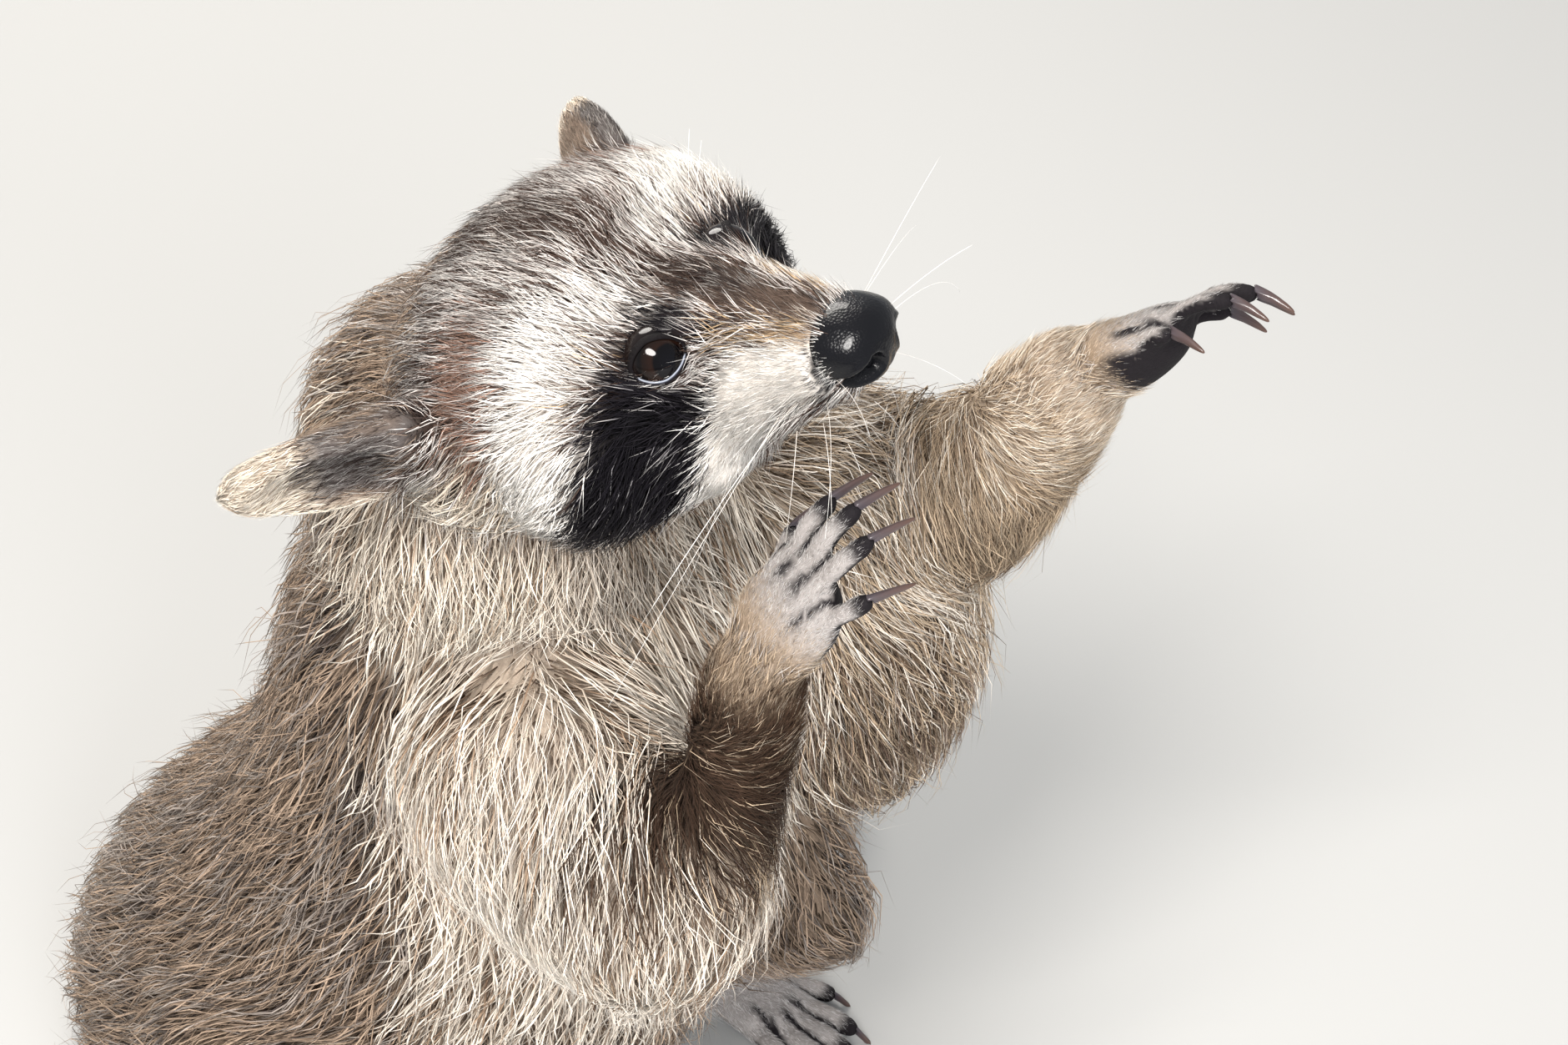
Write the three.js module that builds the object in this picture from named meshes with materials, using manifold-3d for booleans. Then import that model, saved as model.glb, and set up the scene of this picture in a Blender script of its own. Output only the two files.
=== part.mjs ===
// A raccoon sitting up on its haunches, life size, head turned to its left and left arm held out.
// Millimetres, +Z up, floor at z = 0. The animal faces -Y, its left is +X.
// Every solid reaches out to the tips of the coat.
import * as THREE from "three";
import { mergeVertices } from "three/addons/utils/BufferGeometryUtils.js";
import Module from "manifold-3d";

const wasm = await Module();
wasm.setup();

// ---------------------------------------------------------------- driving dimensions
const GAP = 0.35;                    // clear space between neighbouring solids
const MID = 14;                      // x of the trunk's middle plane
const EYES_AT = [15, -100, 415];     // midpoint between the eyes
const HEAD_TURN = 14;                // degrees to its left
const HEAD_LIFT = 15;                // degrees, muzzle up
const HEAD_ROLL = 5;                 // degrees, left ear up
const EYE_RADIUS = 8.5;
const EYE_OUT = 19.5;                // eyeball centre from the middle of the face
const EYE_BACK = 3;
const EYE_DROP = 2.5;
const CLAW_LENGTH = 10.5;
const SIDES = [["left", 1], ["right", -1]];

const SHOULDER = { left: [60, -38, 300], right: [-42, -52, 297] };
const ELBOW = { left: [99, -114, 290], right: [-40, -140, 252] };
const WRIST = { left: [114, -156, 366], right: [-15, -147, 352] };

// ---------------------------------------------------------------- tools
const vec = (p) => new THREE.Vector3(...p);
const lerp = (a, b, t) => a.map((value, i) => value + (b[i] - value) * t);

function solid(geometry) {
  geometry.deleteAttribute("normal");
  geometry.deleteAttribute("uv");
  const merged = mergeVertices(geometry, 1e-4);
  return new wasm.Manifold(new wasm.Mesh({
    numProp: 3,
    vertProperties: new Float32Array(merged.attributes.position.array),
    triVerts: new Uint32Array(merged.index.array),
  }));
}

// A rounded form laid along a curve: a sphere's grid, its poles at the curve's two ends.
// stations: { at, w, h, d }: centre, half width, height above and depth below the centre.
// ends: the share of the length over which each end rounds off.
// facing: the direction that every section faces, where that isn't the curve's own.
function form(stations, { around = 14, along = 8, up = [0, 0, 1], ends = [0.2, 0.2], facing } = {}) {
  return (grow = 0) => {
    const spine = new THREE.CatmullRomCurve3(stations.map((s) => vec(s.at)));
    const sizes = new THREE.CatmullRomCurve3(
      stations.map((s) => vec([s.w, s.h ?? s.w, s.d ?? s.h ?? s.w])), false, "catmullrom", 0.5);
    const geometry = new THREE.SphereGeometry(1, around, along);
    const place = geometry.attributes.position;
    const upward = vec(up);
    for (let i = 0; i < place.count; i++) {
      const p = new THREE.Vector3().fromBufferAttribute(place, i);
      const t = THREE.MathUtils.clamp((1 - p.y) / 2, 0, 1);
      const angle = Math.atan2(p.z, p.x);
      const rim = Math.hypot(p.x, p.z);
      const start = t < ends[0] ? Math.sqrt(1 - (1 - t / ends[0]) ** 2) : 1;
      const past = Math.max(0, (t - 1 + ends[1]) / ends[1]);
      const stop = Math.sqrt(Math.max(0, 1 - past ** 2));
      const cap = rim < 1e-6 ? 0 : Math.min(start, stop);
      const size = sizes.getPoint(t);
      const centre = spine.getPoint(t);
      const tangent = facing ? vec(facing) : spine.getTangent(t);
      const side = new THREE.Vector3().crossVectors(upward, tangent).normalize();
      const above = new THREE.Vector3().crossVectors(tangent, side).normalize();
      const height = Math.sin(angle) > 0 ? size.y : size.z;
      centre.addScaledVector(side, Math.cos(angle) * (size.x + grow) * cap);
      centre.addScaledVector(above, Math.sin(angle) * (height + grow) * cap);
      centre.addScaledVector(tangent, grow * (2 * t - 1) * (1 - cap));
      place.setXYZ(i, centre.x, centre.y, centre.z);
    }
    const made = solid(geometry);
    return made.volume() > 0 ? made : solid(flipped(geometry));
  };
}

function flipped(geometry) {
  const turned = geometry.clone();
  const order = turned.index.array;
  for (let i = 0; i < order.length; i += 3) [order[i], order[i + 1]] = [order[i + 1], order[i]];
  return turned;
}

const union = (...forms) => (grow = 0) => forms.map((f) => f(grow)).reduce((a, b) => a.add(b));
const ball = (at, radius, around = 12, along = 8, scale = [1, 1, 1]) => (grow = 0) => {
  const geometry = new THREE.SphereGeometry(1, around, along);
  geometry.scale(...scale.map((s) => s * radius + grow));
  geometry.translate(...at);
  return solid(geometry);
};
const moved = (shape, matrix) => (grow = 0) => shape(grow).transform(matrix.toArray());

const floorSlab = solid(new THREE.BoxGeometry(1200, 1200, 200).translate(0, 0, -100));

// ---------------------------------------------------------------- head, in its own frame
// x to its left, y to the back, z up, origin between the eyes.
const rad = THREE.MathUtils.degToRad;
const headFrame = (() => {
  const ahead = vec([
    Math.sin(rad(HEAD_TURN)) * Math.cos(rad(HEAD_LIFT)),
    -Math.cos(rad(HEAD_TURN)) * Math.cos(rad(HEAD_LIFT)),
    Math.sin(rad(HEAD_LIFT)),
  ]);
  const across = vec([Math.cos(rad(HEAD_TURN)), Math.sin(rad(HEAD_TURN)), 0]);
  const upright = new THREE.Vector3().crossVectors(across, ahead).negate();
  const left = across.clone().multiplyScalar(Math.cos(rad(HEAD_ROLL)))
    .addScaledVector(upright, Math.sin(rad(HEAD_ROLL)));
  const top = new THREE.Vector3().crossVectors(left, ahead).negate();
  return new THREE.Matrix4().makeBasis(left, ahead.negate(), top).setPosition(...EYES_AT);
})();
const onHead = (shape) => moved(shape, headFrame);

// One cross-section of the head: y along it, middle height, half width, top and bottom heights.
const slice = (y, z, w, top, bottom) => ({ at: [0, y, z], w, h: top - z, d: z - bottom });

const skull = form([
  slice(90, -10, 28, 8, -32),
  slice(76, -12, 46, 18, -44),
  slice(60, -15, 58, 25, -52),
  slice(42, -19, 65, 27, -57),
  slice(25, -21, 64, 27, -58),
  slice(12, -21, 61, 25.5, -55),
  slice(3, -18, 52, 20.5, -50),
  slice(-4, -15, 38, 14, -44),
  slice(-12, -14, 25.5, 9.5, -40),
  slice(-25, -13, 19.5, 5.5, -34.5),
  slice(-37, -14, 16, 2, -30),
  slice(-46, -15, 11, -3, -26),
], { around: 18, along: 14, ends: [0.08, 0.06] });

const eyeball = (side) => ball([side * EYE_OUT, EYE_BACK, -EYE_DROP], EYE_RADIUS, 10, 7);
const socket = (side) => ball([side * 25, -4.5, -1.5], 8, 8, 6);

const nosePad = form([
  { at: [0, -32, -7], w: 11, h: 7.5, d: 11 },
  { at: [0, -39, -8], w: 12.5, h: 8.5, d: 12 },
  { at: [0, -46, -9], w: 11.5, h: 8, d: 10.5 },
  { at: [0, -50.5, -9.5], w: 7.5, h: 6, d: 8 },
], { around: 12, along: 7, ends: [0.1, 0.3] });
const nostril = (side) => ball([side * 5.8, -49.5, -9], 2.6, 6, 4, [1.2, 1, 0.8]);

// A cup that opens outward, forward and a little down, its long axis out to the side and back.
const EAR_ROOT = [44, 48, -7];
const EAR_TIP = { left: [82, 84.5, -2.5], right: [88.5, 90.5, 3.5] };
const EAR_FACING = [0.68, -0.6, -0.43];
const EAR_SAG = 12;                  // how far the ear's middle hangs below a straight line, times four
const CUP_OUT = 9;                   // from the ear's middle line to the hollow's

const ear = (name, side) => (grow = 0) => {
  const mirrored = (p) => [side * p[0], p[1], p[2]];
  const at = (share, out = 0) => {
    const p = lerp(EAR_ROOT, EAR_TIP[name], share).map((value, i) => value + out * EAR_FACING[i]);
    p[2] -= EAR_SAG * share * (1 - share);
    return mirrored(p);
  };
  const up = mirrored(EAR_FACING.map((value) => -value));
  const shell = form([
    { at: at(0), w: 14, h: 9 },
    { at: at(0.3), w: 16.5, h: 10 },
    { at: at(0.58), w: 15.5, h: 9.5 },
    { at: at(0.82), w: 12, h: 7.5 },
    { at: at(1), w: 7, h: 4.5 },
  ], { around: 11, along: 8, up, ends: [0.1, 0.14] });
  const cup = form([
    { at: at(0.26, CUP_OUT), w: 9.5, h: 7 },
    { at: at(0.48, CUP_OUT), w: 11, h: 8 },
    { at: at(0.72, CUP_OUT), w: 8.5, h: 7 },
    { at: at(0.96, CUP_OUT * 0.8), w: 3.5, h: 4 },
  ], { around: 8, along: 6, up, ends: [0.2, 0.2] });
  return grow > 0 ? shell(grow) : shell(0).subtract(cup(0));
};

// ---------------------------------------------------------------- neck and trunk
const neck = form([
  { at: [5, -32, 392], w: 38, h: 32 },
  { at: [5, -30, 362], w: 56, h: 51 },
  { at: [8, -33, 330], w: 64, h: 57 },
  { at: [10, -37, 300], w: 66, h: 58 },
], { around: 16, along: 5, up: [0, 1, 0], ends: [0.14, 0.1] });

// One level slice of the trunk: its middle's y, height z, half width, reach to the back and front.
const layer = (z, y, w, back, front) => ({ at: [MID, y, z], w, h: back - y, d: y - front });

const trunk = form([
  layer(-24, 60, 112, 192, -46),
  layer(24, 58, 120, 196, -54),
  layer(72, 46, 112, 167, -76),
  layer(120, 20, 101, 126, -94),
  layer(164, -6, 94, 92, -104),
  layer(206, -24, 87, 68, -108),
  layer(246, -34, 81, 54, -108),
  layer(290, -38, 77, 42, -104),
  layer(338, -37, 60, 20, -88),
], { around: 20, along: 15, up: [0, 1, 0], ends: [0.07, 0.12], facing: [0, 0, 1] });

// ---------------------------------------------------------------- arms and hands
const upperArm = {
  left: union(
    form([
      { at: SHOULDER.left, w: 40, h: 42 },
      { at: lerp(SHOULDER.left, ELBOW.left, 0.5), w: 42, h: 44 },
      { at: ELBOW.left, w: 39, h: 43 },
    ], { around: 14, along: 7, ends: [0.35, 0.35] }),
    form([
      { at: [84, -90, 306], w: 38, h: 44 },
      { at: [88, -98, 256], w: 42, h: 47 },
      { at: [83, -95, 208], w: 37, h: 41 },
      { at: [74, -88, 164], w: 30, h: 33 },
    ], { around: 10, along: 7, up: [0, 1, 0], ends: [0.25, 0.35] }),
  ),
  right: form([
    { at: SHOULDER.right, w: 46, h: 48 },
    { at: lerp(SHOULDER.right, ELBOW.right, 0.5), w: 42, h: 45 },
    { at: ELBOW.right, w: 34, h: 36 },
    { at: [-39, -150, 238], w: 27, h: 29 },
  ], { around: 14, along: 8, ends: [0.3, 0.3] }),
};

const foreArm = {
  left: form([
    { at: lerp(ELBOW.left, WRIST.left, -0.05), w: 34, h: 36 },
    { at: lerp(ELBOW.left, WRIST.left, 0.35), w: 28, h: 31 },
    { at: lerp(ELBOW.left, WRIST.left, 0.72), w: 18, h: 20 },
    { at: WRIST.left, w: 13, h: 13 },
  ], { around: 12, along: 8, up: [0, 1, 0], ends: [0.2, 0.08] }),
  right: form([
    { at: lerp(ELBOW.right, WRIST.right, -0.05), w: 29, h: 30 },
    { at: lerp(ELBOW.right, WRIST.right, 0.35), w: 24, h: 25 },
    { at: lerp(ELBOW.right, WRIST.right, 0.72), w: 16.5, h: 17 },
    { at: WRIST.right, w: 13, h: 12 },
  ], { around: 12, along: 8, up: [0, 1, 0], ends: [0.2, 0.08] }),
};

// A hand or foot in its own frame: x towards the first digit, y along it, z out of its back.
// digits: { root, length, turn, radius }: where each starts, how far it goes, its fan angle.
const frameOf = (at, along, back) => {
  const y = vec(along).normalize();
  const z = vec(back).addScaledVector(y, -vec(back).dot(y)).normalize();
  return new THREE.Matrix4().makeBasis(new THREE.Vector3().crossVectors(y, z), y, z).setPosition(...at);
};

function digitSpine({ root, length, turn, droop }) {
  const reach = (share) => length * share;
  const across = Math.sin(rad(turn));
  const along = Math.cos(rad(turn));
  return (share) => {
    const fall = droop * length * (share > 0.35 ? (share - 0.35) ** 2 * 1.4 : 0);
    const rise = 0.06 * length * Math.sin(Math.PI * Math.min(1, share));
    return [root[0] + across * reach(share), root[1] + along * reach(share), root[2] + rise - fall];
  };
}

const digit = (d) => {
  const spine = digitSpine(d);
  return form([
    { at: spine(-0.25), w: d.radius * 1.05, h: d.radius * 1.1 },
    { at: spine(0.3), w: d.radius, h: d.radius * 1.05 },
    { at: spine(0.7), w: d.radius * 0.92, h: d.radius * 0.95 },
    { at: spine(1), w: d.radius * 0.82, h: d.radius * 0.8 },
  ], { around: 6, along: 5, ends: [0.15, 0.22] });
};

const claw = (d, hook) => {
  const spine = digitSpine(d);
  const tip = vec(spine(1));
  const ahead = tip.clone().sub(vec(spine(0.8))).normalize();
  const lift = d.radius * 0.35;
  const point = (share) => {
    const p = tip.clone().addScaledVector(ahead, CLAW_LENGTH * share - 3);
    p.z += lift - hook * CLAW_LENGTH * share * share;
    return p.toArray();
  };
  return form([
    { at: point(0), w: 1.3, h: 1.9 },
    { at: point(0.45), w: 1.1, h: 1.6 },
    { at: point(0.8), w: 0.75, h: 1.0 },
    { at: point(1.08), w: 0.4, h: 0.45 },
  ], { around: 5, along: 4, ends: [0.1, 0.12] });
};

const handDigits = (mirror) => [
  { root: [10 * mirror, 9, -3], length: 15, turn: 22 * mirror, radius: 3.6, droop: 0.35 },
  { root: [7.8 * mirror, 18, 0], length: 22, turn: 8 * mirror, radius: 3.5, droop: 0.4 },
  { root: [2.4 * mirror, 21, 0.5], length: 24, turn: 3 * mirror, radius: 3.5, droop: 0.4 },
  { root: [-3.2 * mirror, 20, 0.5], length: 23, turn: -4 * mirror, radius: 3.5, droop: 0.4 },
  { root: [-9.2 * mirror, 13, 0], length: 20, turn: -16 * mirror, radius: 3.5, droop: 0.4 },
];
const palm = form([
  { at: [0, -6, 0], w: 12.5, h: 8.5, d: 10 },
  { at: [0, 5, -1], w: 15, h: 8, d: 14 },
  { at: [0, 15, -1], w: 15.5, h: 6.5, d: 12 },
  { at: [0, 26, 0], w: 12, h: 5, d: 7.5 },
], { around: 12, along: 7, ends: [0.12, 0.16] });

// mirror: 1 where the first digit is on the frame's x side, which is along x back.
const limbs = {
  hand_left: {
    frame: frameOf(WRIST.left, [0.52, -0.64, 0.57], [0.25, 0.78, 0.57]),
    mirror: 1, pad: palm, digits: handDigits, hook: 0.42,
  },
  hand_right: {
    frame: frameOf(WRIST.right, [0.30, -0.36, 0.88], [-0.87, 0.19, 0.40]),
    mirror: -1, pad: palm, digits: handDigits, hook: 0.42,
  },
};

// ---------------------------------------------------------------- hind legs
const HIP_OUT = 64;
const KNEE_OUT = 90;
const HEEL_OUT = 76;
const TOE_TURN = 6;
const thigh = (side) => form([
  { at: [MID + side * HIP_OUT, 70, 60], w: 54, h: 62, d: 56 },
  { at: [MID + side * (HIP_OUT + 14), 20, 78], w: 50, h: 62 },
  { at: [MID + side * (KNEE_OUT - 2), -42, 99], w: 38, h: 46 },
  { at: [MID + side * KNEE_OUT, -86, 110], w: 30, h: 35 },
], { around: 14, along: 8, ends: [0.25, 0.3] });
const shank = (side) => form([
  { at: [MID + side * KNEE_OUT, -86, 97], w: 29, h: 31 },
  { at: [MID + side * (KNEE_OUT - 4), -56, 66], w: 27, h: 31 },
  { at: [MID + side * (HEEL_OUT + 3), -12, 36], w: 20, h: 24 },
  { at: [MID + side * HEEL_OUT, 14, 21], w: 16, h: 17 },
], { around: 12, along: 7, up: [0, 1, 0], ends: [0.2, 0.15] });

const footDigits = (mirror) => [
  { root: [11 * mirror, 62, 0], length: 22, turn: 16 * mirror, radius: 4.8, droop: 0.2 },
  { root: [6.5 * mirror, 70, 0], length: 26, turn: 6 * mirror, radius: 5, droop: 0.2 },
  { root: [0, 72, 0], length: 28, turn: 0, radius: 5, droop: 0.2 },
  { root: [-6.5 * mirror, 70, 0], length: 26, turn: -6 * mirror, radius: 5, droop: 0.2 },
  { root: [-12 * mirror, 60, 0], length: 21, turn: -17 * mirror, radius: 4.8, droop: 0.2 },
];
const SOLE_DEPTH = 5.6;              // centre of a toe above the floor
const sole = form([
  { at: [0, -8, 5], w: 11, h: 12, d: 12 },
  { at: [0, 12, 5], w: 13, h: 14, d: 12 },
  { at: [0, 36, 3], w: 15, h: 12, d: 10 },
  { at: [0, 60, 1.5], w: 18, h: 9, d: 8.5 },
  { at: [0, 78, 0], w: 15, h: 6, d: 6.5 },
], { around: 12, along: 7, ends: [0.14, 0.12] });

for (const [name, side] of SIDES) {
  const angle = rad(TOE_TURN) * side;
  limbs[`foot_${name}`] = {
    frame: frameOf(
      [MID + side * HEEL_OUT, 10, SOLE_DEPTH], [Math.sin(angle), -Math.cos(angle), 0], [0, 0, 1]),
    mirror: side, pad: sole, digits: footDigits, hook: 0.3,
  };
}

// ---------------------------------------------------------------- tail, laid round its left side
const TAIL = [
  [34, 136, 46], [86, 172, 34], [138, 166, 30], [172, 124, 29], [186, 72, 28],
  [188, 22, 26], [182, -16, 22],
];
const TAIL_THICK = [26, 30, 31, 31, 30, 27, 17];
const tailPiece = (first, last, ends) => form(
  TAIL.slice(first, last + 1).map((at, i) => ({ at, w: TAIL_THICK[first + i], h: TAIL_THICK[first + i] })),
  { around: 12, along: 6, ends });

// ---------------------------------------------------------------- assembly
const tone = {
  coat: { color: 0x7d746c, roughness: 0.95 },
  pale: { color: 0xcfc6b8, roughness: 0.95 },
  mask: { color: 0x2b2826, roughness: 0.95 },
  nose: { color: 0x151314, roughness: 0.25 },
  eye: { color: 0x1b0f0a, roughness: 0.08 },
  claw: { color: 0x4a4448, roughness: 0.4 },
};

const pieces = [];                   // earlier pieces are cut out of later ones, with the gap
function add(name, shape, look, cutters = []) {
  pieces.push({ name, shape, look, cutters });
}

// The form with one hollow on each side; its grown copy, a cutter, stays whole.
const hollowed = (shape, hollow) => (grow = 0) => (
  grow > 0 ? shape(grow) : shape(0).subtract(hollow(1)()).subtract(hollow(-1)()));

for (const [name, side] of SIDES) add(`eye_${name}`, onHead(eyeball(side)), tone.eye);
add("nose", onHead(hollowed(nosePad, nostril)), tone.nose);
add("head", onHead(hollowed(skull, socket)), tone.pale, ["eye_left", "eye_right", "nose"]);
for (const [name, side] of SIDES) add(`ear_${name}`, onHead(ear(name, side)), tone.coat, ["head"]);
add("trunk", trunk, tone.coat, ["head"]);
add("neck", neck, tone.pale, ["head", "trunk", "ear_left", "ear_right"]);
for (const side of ["left", "right"]) {
  add(`upper_arm_${side}`, upperArm[side], tone.coat, ["head", "trunk", "neck"]);
  add(`forearm_${side}`, foreArm[side], tone.pale, ["head", "trunk", "neck", `upper_arm_${side}`]);
}
for (const [name, side] of SIDES) {
  add(`thigh_${name}`, thigh(side), tone.coat, ["trunk", `upper_arm_${name}`]);
  add(`shank_${name}`, shank(side), tone.coat, ["trunk", `thigh_${name}`]);
}
for (const [name, limb] of Object.entries(limbs)) {
  const digits = limb.digits(limb.mirror);
  const whole = moved(union(limb.pad, ...digits.map(digit)), limb.frame);
  const above = name.startsWith("hand") ? name.replace("hand", "forearm") : name.replace("foot", "shank");
  add(name, whole, tone.pale, [above, "trunk", "thigh_left", "thigh_right"]);
  digits.forEach((d, i) => {
    add(`claw_${name}_${i + 1}`, moved(claw(d, limb.hook), limb.frame), tone.claw, [name]);
  });
}
add("tail_base", tailPiece(0, 2, [0.15, 0.01]), tone.coat, ["trunk", "thigh_left"]);
add("tail_middle", tailPiece(2, 4, [0.01, 0.01]), tone.mask, ["trunk", "thigh_left", "tail_base"]);
add("tail_tip", tailPiece(4, 6, [0.01, 0.35]), tone.coat, ["trunk", "thigh_left", "tail_middle"]);

const group = new THREE.Group();
const byName = Object.fromEntries(pieces.map((p) => [p.name, p]));
for (const piece of pieces) {
  let whole = piece.shape(0).subtract(floorSlab);
  for (const other of piece.cutters) whole = whole.subtract(byName[other].shape(GAP));
  const parts = whole.decompose();
  whole = parts.reduce((a, b) => (a.volume() > b.volume() ? a : b));
  const { vertProperties, triVerts } = whole.getMesh();
  const geometry = new THREE.BufferGeometry();
  geometry.setAttribute("position", new THREE.BufferAttribute(vertProperties, 3));
  geometry.setIndex(new THREE.BufferAttribute(triVerts, 1));
  geometry.computeVertexNormals();
  const mesh = new THREE.Mesh(geometry, new THREE.MeshStandardMaterial({ metalness: 0, ...piece.look }));
  mesh.name = piece.name;
  group.add(mesh);
}

// The origin is the middle of the footprint, on the floor.
const extent = new THREE.Box3().setFromObject(group);
const middle = extent.getCenter(new THREE.Vector3());
group.position.set(-middle.x, -middle.y, -extent.min.z);

export default group;
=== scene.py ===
"""Raccoon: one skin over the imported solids, a coat of mesh locks, eyes, nose, claws and whiskers."""
import math

import bmesh
import bpy
import numpy as np
import openvdb
from mathutils import Matrix, Vector
from mathutils.bvhtree import BVHTree
from mathutils.kdtree import KDTree


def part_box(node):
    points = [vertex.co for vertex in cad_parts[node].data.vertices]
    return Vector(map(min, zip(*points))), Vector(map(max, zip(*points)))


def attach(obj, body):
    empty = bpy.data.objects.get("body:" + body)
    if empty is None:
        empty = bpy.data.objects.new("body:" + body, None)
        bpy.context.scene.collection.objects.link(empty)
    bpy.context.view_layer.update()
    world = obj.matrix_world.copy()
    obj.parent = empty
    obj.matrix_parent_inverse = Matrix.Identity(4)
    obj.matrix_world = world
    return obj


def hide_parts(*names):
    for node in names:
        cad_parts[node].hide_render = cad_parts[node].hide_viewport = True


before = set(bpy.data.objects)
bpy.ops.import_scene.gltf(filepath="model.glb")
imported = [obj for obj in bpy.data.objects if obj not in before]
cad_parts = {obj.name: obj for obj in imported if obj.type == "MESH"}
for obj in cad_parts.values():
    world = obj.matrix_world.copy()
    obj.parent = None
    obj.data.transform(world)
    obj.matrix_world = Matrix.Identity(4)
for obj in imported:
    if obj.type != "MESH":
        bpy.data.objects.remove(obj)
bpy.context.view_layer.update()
MM = 0.001
rng = np.random.default_rng(7)


# ---- small tools
def unit(v):
    v = np.asarray(v, float)
    return v / np.maximum(np.linalg.norm(v, axis=-1, keepdims=True), 1e-9)


def norms(v):
    """The lengths of rows of vectors."""
    return np.linalg.norm(v, axis=-1)


def nearest(points, places):
    """How far each point is from the nearest of some places."""
    return np.min([norms(points - place) for place in places], axis=0)


def linear(colour):
    """An sRGB colour of 0 to 255 as linear light."""
    c = np.asarray(colour, float) / 255
    return np.where(c <= 0.04045, c / 12.92, ((c + 0.055) / 1.055) ** 2.4)


def between(first, last, share):
    """Linear colours between two sRGB colours."""
    return linear(first) * (1 - share) + linear(last) * share


def centre(node):
    low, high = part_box(node)
    return np.array((low + high) / 2) / MM


def added(name, data):
    """A new object in the scene."""
    thing = bpy.data.objects.new(name, data)
    bpy.context.scene.collection.objects.link(thing)
    return thing


def smooth(mesh):
    mesh.polygons.foreach_set("use_smooth", np.ones(len(mesh.polygons), bool))


def new_object(name, points, faces):
    """A mesh object from points in millimetres and faces as an integer array or list."""
    mesh = bpy.data.meshes.new(name)
    faces = np.asarray(faces, np.int32)
    corners = faces.shape[1]
    mesh.vertices.add(len(points))
    mesh.vertices.foreach_set("co", (np.asarray(points, np.float32) * MM).ravel())
    mesh.loops.add(faces.size)
    mesh.loops.foreach_set("vertex_index", faces.ravel())
    mesh.polygons.add(len(faces))
    mesh.polygons.foreach_set("loop_start", np.arange(0, faces.size, corners, dtype=np.int32))
    mesh.update(calc_edges=True)
    smooth(mesh)
    return added(name, mesh)


def read(items, key, width, kind=np.float32):
    """A property of all of a mesh's points, edges or triangles, as rows."""
    flat = np.empty(len(items) * width, kind)
    items.foreach_get(key, flat)
    return flat.reshape(-1, width)


def points_of(mesh):
    return read(mesh.vertices, "co", 3).astype(float) / MM


def set_points(mesh, points):
    mesh.vertices.foreach_set("co", (np.asarray(points, np.float32) * MM).ravel())
    mesh.update()


def normals_of(mesh):
    return read(mesh.vertex_normals, "vector", 3).astype(float)


def edges_of(mesh):
    return read(mesh.edges, "vertices", 2, np.int32)


def triangles_of(mesh):
    mesh.calc_loop_triangles()
    return read(mesh.loop_triangles, "vertices", 3, np.int32)


def averaged(values, edges, rounds, share=0.5):
    """Each value moved towards the mean of its neighbours, so many rounds over."""
    a, b = edges.T
    count = len(values)
    degree = np.maximum(np.bincount(a, minlength=count) + np.bincount(b, minlength=count), 1)
    values = np.array(values, float)
    flat = values.reshape(count, -1)
    share = np.broadcast_to(np.asarray(share, float).reshape(-1, 1), (count, 1))
    for _ in range(rounds):
        for k in range(flat.shape[1]):
            column = flat[:, k]
            total = np.bincount(a, column[b], count) + np.bincount(b, column[a], count)
            flat[:, k] = column + share[:, 0] * (total / degree - column)
    return flat.reshape(values.shape)


def after(thing, kind, **settings):
    """The object with one modifier applied."""
    modifier = thing.modifiers.new("step", kind)
    for key, value in settings.items():
        setattr(modifier, key, value)
    bpy.context.view_layer.update()
    evaluated = thing.evaluated_get(bpy.context.evaluated_depsgraph_get())
    mesh = bpy.data.meshes.new_from_object(evaluated)
    thing.modifiers.clear()
    thing.data = mesh
    return thing


def wall(sides, rings):
    """The triangles of a tube's wall, its points in rings of so many."""
    faces = []
    for k in range(rings - 1):
        for j in range(sides):
            a, b = sides * k + j, sides * k + (j + 1) % sides
            faces += [(a, b, b + sides), (a, b + sides, a + sides)]
    return faces


def joined(name, shells):
    """One object from several (points, faces) shells."""
    start = np.cumsum([0] + [len(p) for p, _ in shells])
    faces = np.vstack([f + start[i] for i, (_, f) in enumerate(shells)])
    return new_object(name, np.vstack([p for p, _ in shells]), faces)


def shell_of(node, grow):
    """A CAD node's points, grown a little along their normals, and its triangles."""
    work = bmesh.new()
    work.from_mesh(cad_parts[node].data)
    bmesh.ops.remove_doubles(work, verts=work.verts, dist=1e-6)
    bmesh.ops.triangulate(work, faces=work.faces)
    work.normal_update()
    points = np.array([v.co + v.normal * grow * MM for v in work.verts]) / MM
    faces = np.array([[v.index for v in f.verts] for f in work.faces])
    work.free()
    return points, faces


# ---- frames of reference, in millimetres
# Head: x to its left, y back, z up, from between the eyes. Its axes come from the eyes and nose.
NOSE_BELOW_EYES = math.radians(7.8)
_eyes = (centre("eye_left") + centre("eye_right")) / 2
HEAD_X = unit(centre("eye_left") - centre("eye_right"))
_to_nose = centre("nose") - _eyes
_to_nose = unit(_to_nose - HEAD_X * (_to_nose @ HEAD_X))
_down = np.cross(_to_nose, HEAD_X)
_down = _down if _down[2] < 0 else -_down
HEAD_Y = -(_to_nose * math.cos(NOSE_BELOW_EYES) - _down * math.sin(NOSE_BELOW_EYES))
HEAD_Z = np.cross(HEAD_X, HEAD_Y)
HEAD = np.stack([HEAD_X, HEAD_Y, HEAD_Z])
HEAD_AT = _eyes - HEAD_Y * 3 + HEAD_Z * 2.5
# Body: x to its left from the trunk's middle, y back from the eyes, z above the floor.
BODY_AT = np.array([centre("trunk")[0], HEAD_AT[1], 0])


def to_head(points):
    return (np.asarray(points) - HEAD_AT) @ HEAD.T


def from_head(points):
    return np.asarray(points) @ HEAD + HEAD_AT


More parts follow.
